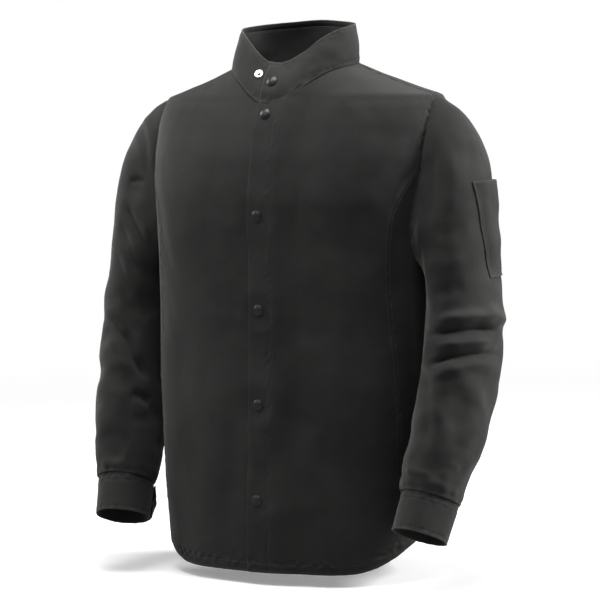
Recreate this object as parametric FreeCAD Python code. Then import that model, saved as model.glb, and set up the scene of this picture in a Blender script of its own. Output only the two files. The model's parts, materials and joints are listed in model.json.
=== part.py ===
import FreeCAD, Part
import os, math

# Snap-front welding jacket, closed and standing as if worn. Millimetres.
# +Z up, the wearer's front faces -Y, +X is the wearer's left.
# Origin: middle of the whole jacket's footprint, at the height of the hem.
#
# Angles are in degrees. Round the torso and neck, -90 is the front, 0 the wearer's left and
# 90 the back. Round the sleeve, 0 is the outer side and 90 the front.
# Pieces of the right half are drawn on the left and mirrored.

os.makedirs("parts", exist_ok=True)
Vector = FreeCAD.Vector

# ---------------------------------------------------------------- driving dimensions
CLOTH_T = 1.2                         # one ply of the shell
HALF_CLOTH = CLOTH_T / 2
COLLAR_T = 2.6                        # the folded stand collar
HALF_COLLAR = COLLAR_T / 2
CUFF_T = 2.4                          # the folded cuff band
HALF_CUFF = CUFF_T / 2

LAP_LEFT, LAP_RIGHT = -15.0, 17.0     # x of the free edges of the left and right front
STACK = 3.9                           # clear space between the two layers at a snap

nodes = {}


# ---------------------------------------------------------------- smooth tables
def mix(start, end, share):
    return start + (end - start) * share


def smooth(share):
    """Soft step from 0 to 1, flat outside 0..1."""
    share = max(0.0, min(1.0, share))
    return share * share * (3 - 2 * share)


def bisect(low, high, is_low):
    """Value between low and high where is_low turns false."""
    for _ in range(30):
        middle = (low + high) / 2
        if is_low(middle):
            low = middle
        else:
            high = middle
    return low


def hermite(start, end, start_slope, end_slope, t):
    return ((2 * t**3 - 3 * t * t + 1) * start + (t**3 - 2 * t * t + t) * start_slope
            + (-2 * t**3 + 3 * t * t) * end + (t**3 - t * t) * end_slope)


def pchip(keys):
    """Shape-keeping cubic through (position, value) pairs, straight beyond its ends."""
    places = [float(key[0]) for key in keys]
    values = [float(key[1]) for key in keys]
    count = len(keys)
    gaps = [places[i + 1] - places[i] for i in range(count - 1)]
    rises = [(values[i + 1] - values[i]) / gaps[i] for i in range(count - 1)]
    slope = [rises[0]]
    for i in range(1, count - 1):
        if rises[i - 1] * rises[i] <= 0:
            slope.append(0.0)
        else:
            before, after = 2 * gaps[i] + gaps[i - 1], gaps[i] + 2 * gaps[i - 1]
            slope.append((before + after) / (before / rises[i - 1] + after / rises[i]))
    slope.append(rises[-1])

    def curve(place):
        if place <= places[0]:
            return values[0] + (place - places[0]) * slope[0]
        if place >= places[-1]:
            return values[-1] + (place - places[-1]) * slope[-1]
        i = 0
        while place > places[i + 1]:
            i += 1
        return hermite(values[i], values[i + 1], gaps[i] * slope[i], gaps[i] * slope[i + 1],
                       (place - places[i]) / gaps[i])
    return curve


def closed_curve(keys):
    """Periodic smooth curve through 2D keys; the parameter is the key number."""
    count = len(keys)
    slope = [[(keys[(i + 1) % count][axis] - keys[i - 1][axis]) / 2.0 for axis in (0, 1)]
             for i in range(count)]

    def curve(place):
        place = place % count
        i = int(place)
        j = (i + 1) % count
        return [hermite(keys[i][axis], keys[j][axis], slope[i][axis], slope[j][axis], place - i)
                for axis in (0, 1)]
    return curve


# ---------------------------------------------------------------- torso surface
# Cross-section by height: (z, value)
HALF_WIDTH = pchip([
    (0, 201), (60, 203), (150, 206), (300, 210), (400, 212), (440, 213), (520, 217), (600, 223),
    (650, 224), (676, 221), (692, 217), (704, 186), (719, 143), (739, 93), (754, 60)])
FRONT_Y = pchip([
    (0, -145), (60, -144), (125, -142), (265, -134), (400, -129), (540, -130), (600, -123),
    (650, -107), (690, -92), (712, -84), (740, -74), (754, -68)])
BACK_Y = pchip([
    (0, 134), (60, 134), (150, 131), (300, 126), (420, 134), (520, 144), (600, 142), (650, 130),
    (690, 112), (719, 92), (739, 74), (754, 58)])
# exponent of the superellipse: 2 is an ellipse, more is squarer
SQUARENESS = pchip([
    (0, 2.2), (60, 2.4), (150, 2.8), (300, 3.1), (450, 3.1), (600, 2.9), (676, 2.45),
    (692, 2.2), (739, 2.0), (754, 2.0)])
SLOPE_LOW, SLOPE_HIGH = 676.0, 754.0  # heights between which the shoulders slope
MIN_HALF = 15.0                       # smallest half width and depth used by the field


def section(z):
    """Half width, middle y, half depth and squareness of the torso."""
    front, back = FRONT_Y(z), BACK_Y(z)
    return HALF_WIDTH(z), (front + back) / 2, (back - front) / 2, SQUARENESS(z)


def torso_point(angle, z):
    half_width, middle_y, half_depth, power = section(z)
    cos, sin = math.cos(math.radians(angle)), math.sin(math.radians(angle))
    reach = (abs(cos)**power + abs(sin)**power)**(-1.0 / power)
    return Vector(half_width * reach * cos, middle_y + half_depth * reach * sin, z)


def angle_of_x(x, z):
    """Angle at which the front of the torso passes x."""
    half_width, _, _, power = section(z)
    share = min(abs(x) / half_width, 1.0)
    return math.degrees(math.atan2(-(1 - share**power)**(1.0 / power), x / half_width))


def angle_of_y(y, z):
    """Angle at which the wearer's left side of the torso passes y."""
    _, middle_y, half_depth, power = section(z)
    share = (y - middle_y) / half_depth
    return math.degrees(math.atan2(share, (1 - min(abs(share), 1.0)**power)**(1.0 / power)))


def torso_at_x(x, z):
    return torso_point(angle_of_x(x, z), z)


def torso_at_y(y, z):
    return torso_point(angle_of_y(y, z), z)


def field(point):
    """Zero on the torso surface, negative inside."""
    half_width, middle_y, half_depth, power = section(point.z)
    across = abs(point.x / max(half_width, MIN_HALF))
    deep = abs((point.y - middle_y) / max(half_depth, MIN_HALF))
    return (across**power + deep**power)**(1.0 / power) - 1.0


def gradient(point, step=0.5):
    axes = (Vector(step, 0, 0), Vector(0, step, 0), Vector(0, 0, step))
    return Vector(*[field(point + axis) - field(point - axis) for axis in axes]) * (0.5 / step)


def torso_normal(point):
    return gradient(point).normalize()


def onto_torso(point):
    """Nearby point of the torso surface, following the gradient."""
    for _ in range(7):
        slope = gradient(point)
        point = point - slope * (field(point) / max(slope.dot(slope), 1e-12))
    return point


def slope_z(x, y):
    """Height of the shoulder slope above a point seen from above."""
    return bisect(SLOPE_LOW, SLOPE_HIGH, lambda z: field(Vector(x, y, z)) < 0)


# ---------------------------------------------------------------- hem and neckline
# (angle from centre front to centre back, z): the hem rises at the sides
HEM_Z = pchip([
    (-90, 19), (-60, 18.5), (-50, 19.5), (-40, 26.5), (-30, 40), (-20, 56), (-10, 67), (0, 72),
    (15, 71), (30, 65), (45, 53), (60, 26), (72, 8), (90, 1)])

NECK_HALF_W, NECK_FRONT_Y, NECK_BACK_Y = 94.0, -95.0, 67.0      # neckline seen from above
NECK_TRIM = 2.6                       # the shell stops this far short of the collar's middle
SHOULDER_NECK_ANGLE = 10.9            # where the shoulder seam meets the neckline


def hem_z(angle):
    """Height of the shirt-tail hem, alike on both halves."""
    if abs(angle) > 90:
        angle = math.copysign(180.0 - abs(angle), angle)
    return HEM_Z(angle)


def hem_point(angle):
    return torso_point(angle, hem_z(angle))


def oval(angle, half_width, front_y, back_y):
    """x and y on an ellipse seen from above."""
    turn = math.radians(angle)
    return (half_width * math.cos(turn),
            (front_y + back_y) / 2 + (back_y - front_y) / 2 * math.sin(turn))


def neckline(angle):
    x, y = oval(angle, NECK_HALF_W, NECK_FRONT_Y, NECK_BACK_Y)
    return Vector(x, y, slope_z(x, y))


def neck_edge(angle, out=NECK_TRIM):
    """Neckline moved outward along the shell."""
    point = neckline(angle)
    along = (neckline(angle + 0.5) - point).normalize()
    return onto_torso(point + along.cross(torso_normal(point)) * out)


def neck_angle_of_x(x):
    """Angle at which the front of the neckline passes x."""
    return -math.degrees(math.acos(max(-1.0, min(1.0, x / NECK_HALF_W))))


# ---------------------------------------------------------------- seams and armhole
# (y, z) round the left armhole: from its top down the front and up the back
ARMHOLE = [
    (0, 692), (-18, 675), (-33, 650), (-44, 618), (-50, 588), (-60, 548), (-65, 508),
    (-58, 472), (-37, 451), (-6, 444), (28, 451), (54, 474), (66, 512), (69, 545),
    (66, 566), (60, 600), (49, 640), (32, 670), (14, 687)]
armhole_yz = closed_curve(ARMHOLE)
ARMHOLE_END = len(ARMHOLE)            # key number of the top, once round
FRONT_SEAM_KEY, BOTTOM_KEY, BACK_SEAM_KEY = 4, 9, 14
FRONT_SEAM_TOP = ARMHOLE[FRONT_SEAM_KEY][1]
BACK_SEAM_TOP = ARMHOLE[BACK_SEAM_KEY][1]

# Princess seam and back seam of the left side: (z, y)
FRONT_SEAM_Y = pchip([(0, -72), (250, -80), (480, -90), (522, -87), (556, -76), (588, -50)])
BACK_SEAM_Y = pchip([(0, 76), (250, 82), (440, 96), (500, 92), (540, 80), (566, 66)])
SEAM_BLEND = 60.0                     # height over which a panel edge runs onto its seam

# x by height of the line where the fronts start to turn: (z, x)
FOLD_X = pchip([(0, 108), (300, 96), (560, 66), (640, 52), (700, 44)])

# Where the lines meet the hem and the neckline, each taken at a height close by
EDGE_FOOT_Z, FOLD_FOOT_Z, SEAM_FOOT_Z, FOLD_HEAD_Z = 3.0, 5.0, 40.0, 690.0
FOLD_HEM_ANGLE = angle_of_x(FOLD_X(FOLD_FOOT_Z), FOLD_FOOT_Z)
FRONT_SEAM_HEM_ANGLE = angle_of_y(FRONT_SEAM_Y(SEAM_FOOT_Z), SEAM_FOOT_Z)
BACK_SEAM_HEM_ANGLE = angle_of_y(BACK_SEAM_Y(SEAM_FOOT_Z), SEAM_FOOT_Z)
FOLD_NECK_ANGLE = neck_angle_of_x(FOLD_X(FOLD_HEAD_Z))


def armhole_point(key):
    return torso_at_y(*armhole_yz(key))


def shoulder(share):
    """Shoulder seam from the neckline (0) to the top of the armhole (1)."""
    start, end = neck_edge(SHOULDER_NECK_ANGLE), armhole_point(0.0)
    if share <= 0:
        return start
    if share >= 1:
        return end
    x, y = mix(start.x, end.x, share), mix(start.y, end.y, share)
    return Vector(x, y, slope_z(x, y))


# ---------------------------------------------------------------- sheets from point grids
def coons(bottom, top, side0, side1, us, vs):
    """Grid of torso points between four boundary curves, each a function on 0..1."""
    corner00, corner10, corner01, corner11 = bottom(0), bottom(1), top(0), top(1)
    starts, ends = [side0(v) for v in vs], [side1(v) for v in vs]
    grid = []
    for u in us:
        low, high = bottom(u), top(u)
        column = []
        for v, start, end in zip(vs, starts, ends):
            edges = low * (1 - v) + high * v + start * (1 - u) + end * u
            corners = (corner00 * ((1 - u) * (1 - v)) + corner10 * (u * (1 - v))
                       + corner01 * ((1 - u) * v) + corner11 * (u * v))
            column.append(onto_torso(edges - corners))
        grid.append(column)
    return grid


def shares(trim, *spans):
    """Shares 0..1 in spans of (end, steps), both ends drawn in by trim."""
    out = [0.0]
    for end, steps in spans:
        start = out[-1]
        out += [mix(start, end, i / steps) for i in range(1, steps + 1)]
    out[0], out[-1] = trim, 1 - trim
    return out


def slopes(points):
    """Tangents of the smooth open curve through points, evenly spaced in parameter."""
    count = len(points)
    factor, right = [0.0] * count, [None] * count
    right[0] = (points[0] * -3 + points[1] * 4 - points[2]) * 0.5
    for i in range(1, count - 1):
        factor[i] = 1.0 / (4.0 - factor[i - 1])
        right[i] = ((points[i + 1] - points[i - 1]) * 3 - right[i - 1]) * factor[i]
    out = [None] * count
    out[0] = right[0]
    out[-1] = (points[-1] * 3 - points[-2] * 4 + points[-3]) * 0.5
    for i in range(count - 2, 0, -1):
        out[i] = right[i] - out[i + 1] * factor[i]
    return out


def slopes_closed(points):
    """Tangents of a closed smooth curve; its first point is not repeated."""
    count = len(points)
    chords = [points[(i + 1) % count] - points[i - 1] for i in range(count)]
    out = [chord * 0.5 for chord in chords]
    for _ in range(30):
        out = [(chords[i] * 3 - out[i - 1] - out[(i + 1) % count]) * 0.25 for i in range(count)]
    return out


def curve_poles(points, tangents):
    """Bezier poles of the cubic pieces through points."""
    third = 1 / 3.0
    out = [points[0], points[0] + tangents[0] * third]
    for point, tangent in zip(points[1:-1], tangents[1:-1]):
        out += [point - tangent * third, point + tangent * third]
    return out + [points[-1] - tangents[-1] * third, points[-1]]


def pole_net(grid, tangents=None):
    """Bicubic pole net of a point grid; tangents = ready ones along the first direction."""
    lines = []
    for j in range(len(grid[0])):
        line = [column[j] for column in grid]
        ready = slopes(line) if tangents is None else [column[j] for column in tangents]
        lines.append(curve_poles(line, ready))
    net = []
    for i in range(len(lines[0])):
        row = [line[i] for line in lines]
        net.append(curve_poles(row, slopes(row)))
    return net


def knots(pole_count):
    """Knots and multiplicities of a cubic whose poles come in pairs."""
    count = pole_count // 2
    return [float(i) for i in range(count)], [4] + [2] * (count - 2) + [4]


def bicubic(net):
    u_knots, u_mults = knots(len(net))
    v_knots, v_mults = knots(len(net[0]))
    surface = Part.BSplineSurface()
    surface.buildFromPolesMultsKnots(net, u_mults, v_mults, u_knots, v_knots, False, False, 3, 3)
    return surface.toShape()


def ruled(start_poles, end_poles):
    places, mults = knots(len(start_poles))
    surface = Part.BSplineSurface()
    surface.buildFromPolesMultsKnots([start_poles, end_poles], [2, 2], mults, [0.0, 1.0], places,
                                     False, False, 1, 3)
    return surface.toShape()


def ruled_rim(outer_net, inner_net, row):
    """Edge face along the first (0) or last (-1) pole of every net line."""
    return ruled([line[row] for line in outer_net], [line[row] for line in inner_net])


def make_solid(faces):
    shell = Part.makeShell(faces)
    shell.sewShape()
    if shell.ShapeType != "Shell":
        shell = shell.Shells[0]
    solid = Part.makeSolid(shell)
    if solid.Volume < 0:
        solid.reverse()
    return solid


def raised(point, normal, offset):
    """Point lifted along its normal, with the normal; offset is a number or f(point)."""
    height = offset(point) if callable(offset) else offset
    return point + normal * height, normal


def two_sides(grid, half_thickness):
    """Outer and inner point grids of a grid of (middle point, normal) pairs."""
    return [[[point + normal * side for point, normal in column] for column in grid]
            for side in (half_thickness, -half_thickness)]


def slab(grid, half_thickness, u_cuts=(), v_cuts=()):
    """Solid sheet; cuts are grid lines where the edge has a corner."""
    sides = two_sides(grid, half_thickness)
    us = [0] + list(u_cuts) + [len(grid) - 1]
    vs = [0] + list(v_cuts) + [len(grid[0]) - 1]
    faces = []
    for a in range(len(us) - 1):
        for b in range(len(vs) - 1):
            outer, inner = [pole_net([column[vs[b]:vs[b + 1] + 1]
                                      for column in side[us[a]:us[a + 1] + 1]])
                            for side in sides]
            faces += [bicubic(outer), bicubic(inner)]
            if a == 0:
                faces.append(ruled(outer[0], inner[0]))
            if a == len(us) - 2:
                faces.append(ruled(outer[-1], inner[-1]))
            if b == 0:
                faces.append(ruled_rim(outer, inner, 0))
            if b == len(vs) - 2:
                faces.append(ruled_rim(outer, inner, -1))
    return make_solid(faces)


def tube(grid, half_thickness):
    """Closed sheet in two halves; the grid goes once round without repeating its first line."""
    count = len(grid)
    half = count // 2
    side_nets = []
    for side in two_sides(grid, half_thickness):
        around = [slopes_closed([column[j] for column in side]) for j in range(len(side[0]))]
        nets = []
        for start in (0, half):
            picks = [(start + k) % count for k in range(half + 1)]
            nets.append(pole_net([side[i] for i in picks],
                                 [[line[i] for line in around] for i in picks]))
        side_nets.append(nets)
    faces = []
    for outer, inner in zip(*side_nets):
        faces += [bicubic(outer), bicubic(inner),
                  ruled_rim(outer, inner, 0), ruled_rim(outer, inner, -1)]
    return make_solid(faces)


def torso_sheet(grid, offset, u_cuts=(), v_cuts=()):
    """One ply of cloth whose middle lies offset outside the torso surface."""
    pairs = [[raised(point, torso_normal(point), offset) for point in column] for column in grid]
    return slab(pairs, HALF_CLOTH, u_cuts, v_cuts)


def mirror(shape):
    return shape.mirror(Vector(0, 0, 0), Vector(1, 0, 0))


# ---------------------------------------------------------------- snaps
CAP_R, CAP_H, CAP_RIM, CAP_CHAMFER = 7.8, 3.2, 0.9, 0.4
STUD_R, STUD_T = 5.4, 0.9             # flange of the stud
NUB_R, NUB_H = 2.0, 1.8
SOCKET_R, SOCKET_BORE, SOCKET_ROOF = 5.4, 2.8, 0.4
STEM_R, HOLE_R = 1.2, 1.5
CAP_STEM_EXTRA = 0.15                 # the cap's stem reaches this far through its layer
POST_R, POST_T = STUD_R - 0.6, 0.7    # flange of the post
SNAP_PLAY = 0.2                       # clearance of socket and post from their neighbours
FLAT_SEAT = 0.1                       # a cap stands this far off the cloth
CURVED_SEAT = 0.35                    # the same on the curved collar
BORE_L = 24
SNAP_PARTS = ("cap", "socket", "stud", "post")
CENTRE, DOWN = Vector(0, 0, 0), Vector(0, 0, -1)


def placed(shape, point, normal):
    """Copy of a shape built on +Z, stood on point along normal."""
    shape = shape.copy()
    turn = FreeCAD.Rotation(Vector(0, 0, 1), normal)
    shape.Placement = FreeCAD.Placement(point, turn).multiply(shape.Placement)
    return shape


def revolve(profile):
    """Solid of revolution of a closed (radius, height) profile."""
    wire = Part.makePolygon([Vector(r, 0, h) for r, h in profile + profile[:1]])
    return Part.Face(wire).revolve(CENTRE, Vector(0, 0, 1), 360)


def cap_dome():
    """Domed cap, flat below, with a chamfered rim."""
    rise = CAP_H - CAP_RIM
    sphere = (CAP_R * CAP_R + rise**2) / (2 * rise)
    half_turn = 0.5 * math.asin(CAP_R / sphere)
    corners = [Vector(0, 0, 0), Vector(CAP_R - CAP_CHAMFER, 0, 0), Vector(CAP_R, 0, CAP_CHAMFER),
               Vector(CAP_R, 0, CAP_RIM)]
    crown = Vector(0, 0, CAP_H)
    on_arc = Vector(math.sin(half_turn) * sphere, 0,
                    CAP_H - sphere + sphere * math.cos(half_turn))
    edges = [Part.makeLine(start, end) for start, end in zip(corners, corners[1:])]
    edges += [Part.Arc(corners[-1], on_arc, crown).toShape(), Part.makeLine(crown, corners[0])]
    return Part.Face(Part.Wire(edges)).revolve(CENTRE, Vector(0, 0, 1), 360)


def snap_post(stem_length):
    flange = Part.makeCylinder(POST_R, POST_T, CENTRE, DOWN)
    return flange.fuse(Part.makeCylinder(STEM_R, stem_length)).removeSplitter()


def snap(point, normal, under, over, sag, seat):
    """Cap, socket, stud and post of one snap.

    under and over are the (inner, outer) heights along normal of the two layers;
    sag is extra room for the curve of the layers.
    """
    under_in, under_out = under
    over_in, over_out = over
    stud_base = under_out + 0.5 * seat

    stem = Part.makeCylinder(STEM_R, over_out - over_in + CAP_STEM_EXTRA + seat + sag, CENTRE, DOWN)
    cap = cap_dome().fuse(stem).removeSplitter()

    socket_base = stud_base + STUD_T + SNAP_PLAY
    socket_h = over_in - SNAP_PLAY - sag - socket_base
    socket = Part.makeCylinder(SOCKET_R, socket_h).cut(
        Part.makeCylinder(SOCKET_BORE, socket_h - SOCKET_ROOF))

    nub_top = STUD_T + NUB_H - 0.3
    stud = revolve([(0, 0), (STUD_R, 0), (STUD_R, 0.55), (STUD_R - 0.35, STUD_T),
                    (NUB_R - 0.2, STUD_T), (NUB_R - 0.2, 1.5), (NUB_R, 1.9),
                    (NUB_R - 0.5, nub_top), (0, nub_top)])

    post = snap_post(under_out - under_in + SNAP_PLAY + 0.5 * seat + sag)
    return (placed(cap, point + normal * (over_out + seat), normal),
            placed(socket, point + normal * socket_base, normal),
            placed(stud, point + normal * stud_base, normal),
            placed(post, point + normal * (under_in - SNAP_PLAY - sag), normal))


def bore(shape, places):
    """Snap holes through a shape at (point, normal) places."""
    for point, normal in places:
        start = point - normal * (BORE_L / 2)
        shape = shape.cut(Part.makeCylinder(HOLE_R, BORE_L, start, normal))
    return shape


# ---------------------------------------------------------------- fronts
FACING_W = 42.0                       # from the front edge to the far side of the facing
FACING_INSET = 1.2                    # facing edge behind the front edge
FACING_HEM_GAP, FACING_NECK_GAP = 1.5, 1.2
FACING_FOOT_Z = 4.0                   # height at which the facing's hem angles are taken
FACING_DEPTH = CLOTH_T + 0.2          # middle of the facing below the middle of the front
SNAP_Z = (667.0, 526.0, 392.0, 257.0, 121.0)
FRONT_SNAP_SAG = 0.2

# Outward offset of the lapping left front over the right one
LAP_OFFSET = HALF_CLOTH + STACK + CLOTH_T + 0.1 + HALF_CLOTH
LAP_FULL_X, LAP_GONE_X = 20.0, 66.0   # full up to the first x, gone at the second

FOLD_NECK_SHARE = 0.36                # share of the fold's top edge on the neckline
SEAM_SHARE = 0.70                     # share of a side edge below the armhole
SEAM_STEPS, ARMHOLE_STEPS = 20, 9     # grid steps on the two parts of a side edge


def lap_offset(point):
    return LAP_OFFSET * smooth((LAP_GONE_X - point.x) / (LAP_GONE_X - LAP_FULL_X))


def fold_edge(foot, head):
    """Side edge along the turning line, adjusted to meet its two end points."""
    foot_shift, head_shift = foot.x - FOLD_X(foot.z), head.x - FOLD_X(head.z)

    def edge(share):
        z = mix(foot.z, head.z, share)
        return torso_at_x(FOLD_X(z) + mix(foot_shift, head_shift, share), z)
    return edge


def seam_edge(seam_y, seam_top, foot, start_key, end_key):
    """Side edge: up the seam from the hem to the armhole, then round the armhole."""
    def edge(share):
        if share > SEAM_SHARE:
            part = (share - SEAM_SHARE) / (1 - SEAM_SHARE)
            return armhole_point(mix(start_key, end_key, part))
        z = mix(foot.z, seam_top, share / SEAM_SHARE)
        blend = smooth((z - foot.z) / SEAM_BLEND)
        point = torso_at_y(seam_y(z), z)
        return onto_torso(Vector(mix(foot.x, point.x, blend), mix(foot.y, point.y, blend), z))
    return edge


def front_panel_grid(edge_x):
    """Front from its free edge to the line where it starts to turn."""
    hem_start = angle_of_x(edge_x, EDGE_FOOT_Z)
    neck_start = neck_angle_of_x(edge_x)

    def bottom(share):
        return hem_point(mix(hem_start, FOLD_HEM_ANGLE, share))

    def top(share):
        return neck_edge(mix(neck_start, FOLD_NECK_ANGLE, share))
    foot, head = bottom(0), top(0)

    def free_edge(share):
        return torso_at_x(mix(foot.x, head.x, share), mix(foot.z, head.z, share))
    return coons(bottom, top, free_edge, fold_edge(bottom(1), top(1)),
                 shares(0.004, (1, 8)), shares(0.0004, (1, 26)))


def front_fold_grid():
    """Front from the turning line to the princess seam, armhole and shoulder."""
    def bottom(share):
        return hem_point(mix(FOLD_HEM_ANGLE, FRONT_SEAM_HEM_ANGLE, share))

    def top(share):
        if share <= FOLD_NECK_SHARE:
            return neck_edge(mix(FOLD_NECK_ANGLE, SHOULDER_NECK_ANGLE, share / FOLD_NECK_SHARE))
        return shoulder((share - FOLD_NECK_SHARE) / (1 - FOLD_NECK_SHARE))
    seam = seam_edge(FRONT_SEAM_Y, FRONT_SEAM_TOP, bottom(1), FRONT_SEAM_KEY, 0)
    return coons(bottom, top, fold_edge(bottom(0), top(0)), seam,
                 shares(0.003, (FOLD_NECK_SHARE, 7), (1, 10)),
                 shares(0.0009, (SEAM_SHARE, SEAM_STEPS), (1, ARMHOLE_STEPS)))


def facing_grid(edge_x):
    """Facing strip behind a front edge."""
    grid = []
    for i in range(5):
        x = mix(edge_x + FACING_INSET, edge_x + FACING_W, i / 4)
        low = hem_z(angle_of_x(x, FACING_FOOT_Z)) + FACING_HEM_GAP
        high = neck_edge(neck_angle_of_x(x), NECK_TRIM + FACING_NECK_GAP).z
        grid.append([torso_at_x(x, mix(low, high, j / 24)) for j in range(25)])
    return grid


def left_facing_offset(point):
    return lap_offset(point) - FACING_DEPTH


left_panel = torso_sheet(front_panel_grid(LAP_LEFT), lap_offset)
right_panel = mirror(torso_sheet(front_panel_grid(-LAP_RIGHT), 0.0))
left_facing = torso_sheet(facing_grid(LAP_LEFT), left_facing_offset)
right_facing = mirror(torso_sheet(facing_grid(-LAP_RIGHT), -FACING_DEPTH))

front_snap_places = []
for z in SNAP_Z:
    centre_front = torso_point(-90.0, z)
    front_snap_places.append((centre_front, torso_normal(centre_front)))
front_snaps = [snap(point, normal, (-FACING_DEPTH - HALF_CLOTH, HALF_CLOTH),
                    (LAP_OFFSET - FACING_DEPTH - HALF_CLOTH, LAP_OFFSET + HALF_CLOTH),
                    FRONT_SNAP_SAG, FLAT_SEAT)
               for point, normal in front_snap_places]

nodes["left_front_panel"] = bore(left_panel, front_snap_places)
nodes["left_front_facing"] = bore(left_facing, front_snap_places)
nodes["right_front_panel"] = bore(right_panel, front_snap_places)
nodes["right_front_facing"] = bore(right_facing, front_snap_places)

fold_grid = front_fold_grid()
nodes["left_front_fold"] = torso_sheet(fold_grid, lap_offset, (7,), (SEAM_STEPS,))
nodes["right_front_fold"] = mirror(torso_sheet(fold_grid, 0.0, (7,), (SEAM_STEPS,)))


# ---------------------------------------------------------------- sides and back
SHOULDER_SHARE = 0.25                 # share of the back's top edge on each shoulder


def side_panel_grid():
    """Princess seam to back seam, the bottom of the armhole as the top edge."""
    front_foot, back_foot = hem_point(FRONT_SEAM_HEM_ANGLE), hem_point(BACK_SEAM_HEM_ANGLE)
    grid = []
    for u in shares(0.0022, (1, 18)):
        foot = hem_point(mix(FRONT_SEAM_HEM_ANGLE, BACK_SEAM_HEM_ANGLE, u))
        head = armhole_point(mix(FRONT_SEAM_KEY, BACK_SEAM_KEY, u))
        front, back = FRONT_SEAM_Y(head.z), BACK_SEAM_Y(min(head.z, BACK_SEAM_TOP))
        head_share = max(0.0, min(1.0, (head.y - front) / (back - front)))
        foot_share = (foot.y - front_foot.y) / (back_foot.y - front_foot.y)
        column = []
        for v in shares(0.0012, (1, 24)):
            z = mix(foot.z, head.z, v)
            front = mix(front_foot.y, FRONT_SEAM_Y(min(z, FRONT_SEAM_TOP)),
                        smooth((z - front_foot.z) / SEAM_BLEND))
            back = mix(back_foot.y, BACK_SEAM_Y(min(z, BACK_SEAM_TOP)),
                       smooth((z - back_foot.z) / SEAM_BLEND))
            column.append(torso_at_y(mix(front, back, mix(foot_share, head_share, v)), z))
        grid.append(column)
    return grid


def back_panel_grid():
    """Back panel from the left back seam to the right one."""
    def bottom(share):
        return hem_point(mix(BACK_SEAM_HEM_ANGLE, 180.0 - BACK_SEAM_HEM_ANGLE, share))

    def flip(point):
        return Vector(-point.x, point.y, point.z)

    def top(share):
        if share <= SHOULDER_SHARE:
            return shoulder(1 - share / SHOULDER_SHARE)
        if share >= 1 - SHOULDER_SHARE:
            return flip(shoulder((share - 1 + SHOULDER_SHARE) / SHOULDER_SHARE))
        return neck_edge(mix(SHOULDER_NECK_ANGLE, 180.0 - SHOULDER_NECK_ANGLE,
                             (share - SHOULDER_SHARE) / (1 - 2 * SHOULDER_SHARE)))
    seam = seam_edge(BACK_SEAM_Y, BACK_SEAM_TOP, bottom(0), BACK_SEAM_KEY, ARMHOLE_END)
    return coons(bottom, top, seam, lambda share: flip(seam(share)),
                 shares(0.0012, (SHOULDER_SHARE, 8), (1 - SHOULDER_SHARE, 14), (1, 8)),
                 shares(0.0009, (SEAM_SHARE, SEAM_STEPS), (1, ARMHOLE_STEPS)))


side_panel = torso_sheet(side_panel_grid(), 0.0)
nodes["left_side_panel"] = side_panel
nodes["right_side_panel"] = mirror(side_panel)
nodes["back_panel"] = torso_sheet(back_panel_grid(), 0.0, (8, 22), (SEAM_STEPS,))

# ---------------------------------------------------------------- stand collar
COLLAR_H_FRONT, COLLAR_H_SIDE, COLLAR_H_BACK = 57.0, 56.0, 58.0
COLLAR_TOP_HALF_W, COLLAR_TOP_FRONT_Y, COLLAR_TOP_BACK_Y = 87.0, -62.0, 57.0
COLLAR_BULGE = 2.2                    # outward, at half height
COLLAR_FOOT_LIFT = 1.0                # foot of the collar above the neckline
COLLAR_LEFT_X, COLLAR_RIGHT_X = -13.0, 15.0     # free edges of the left and right end
END_ANGLE, FOLD_ANGLE = -50.0, -12.0  # where the collar's end and fold pieces stop
COLLAR_LAP = HALF_COLLAR + STACK + HALF_COLLAR
COLLAR_LAP_FULL_X, COLLAR_LAP_GONE_X = 12.0, 44.0
COLLAR_SEAM_TRIM = 0.006              # share of a piece left open at a seam
COLLAR_BACK_TRIM = 0.0012             # the same for the long back pieces
PLY_OFFSET = 0.68                     # each back ply from the middle of the collar

COLLAR_SNAP_X, COLLAR_SNAP_SHARE = 0.5, 0.52    # share of the collar height
COLLAR_SNAP_SAG = 0.45
SPARE_X, SPARE_SHARE = -27.0, 0.62    # the open stud beside the collar snap
SPARE_R = 6.6
SPARE_POST_DEPTH = 0.62               # spare post flange inside the collar's inner face


def collar_height(angle):
    sin = math.sin(math.radians(angle))
    return (COLLAR_H_SIDE + (COLLAR_H_BACK - COLLAR_H_SIDE) * max(sin, 0)**1.5
            + (COLLAR_H_FRONT - COLLAR_H_SIDE) * max(-sin, 0)**2.0)


def collar_point(angle, share):
    """Middle of the collar; share = 0 at its foot, 1 on the top edge."""
    foot = neckline(angle)
    x, y = oval(angle, COLLAR_TOP_HALF_W, COLLAR_TOP_FRONT_Y, COLLAR_TOP_BACK_Y)
    top = Vector(x, y, foot.z + collar_height(angle))
    bulge = COLLAR_BULGE * math.sin(math.pi * share)
    turn = math.radians(angle)
    return foot + (top - foot) * share + Vector(math.cos(turn) * bulge, math.sin(turn) * bulge,
                                                COLLAR_FOOT_LIFT * (1 - share))


def collar_place(angle, share):
    """Middle point of the collar and its outward normal."""
    around = collar_point(angle + 0.6, share) - collar_point(angle - 0.6, share)
    upward = collar_point(angle, share + 0.01) - collar_point(angle, share - 0.01)
    return collar_point(angle, share), around.cross(upward).normalize()


def collar_angle(x, share):
    """Angle at which the front of the collar passes x."""
    angle = -90.0
    for _ in range(12):
        rate = (collar_point(angle + 0.2, share).x - collar_point(angle - 0.2, share).x) / 0.4
        angle += (x - collar_point(angle, share).x) / rate
    return angle


def collar_lap_offset(point):
    if point.y >= 0:
        return 0.0
    return COLLAR_LAP * smooth((COLLAR_LAP_GONE_X - point.x)
                               / (COLLAR_LAP_GONE_X - COLLAR_LAP_FULL_X))


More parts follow.
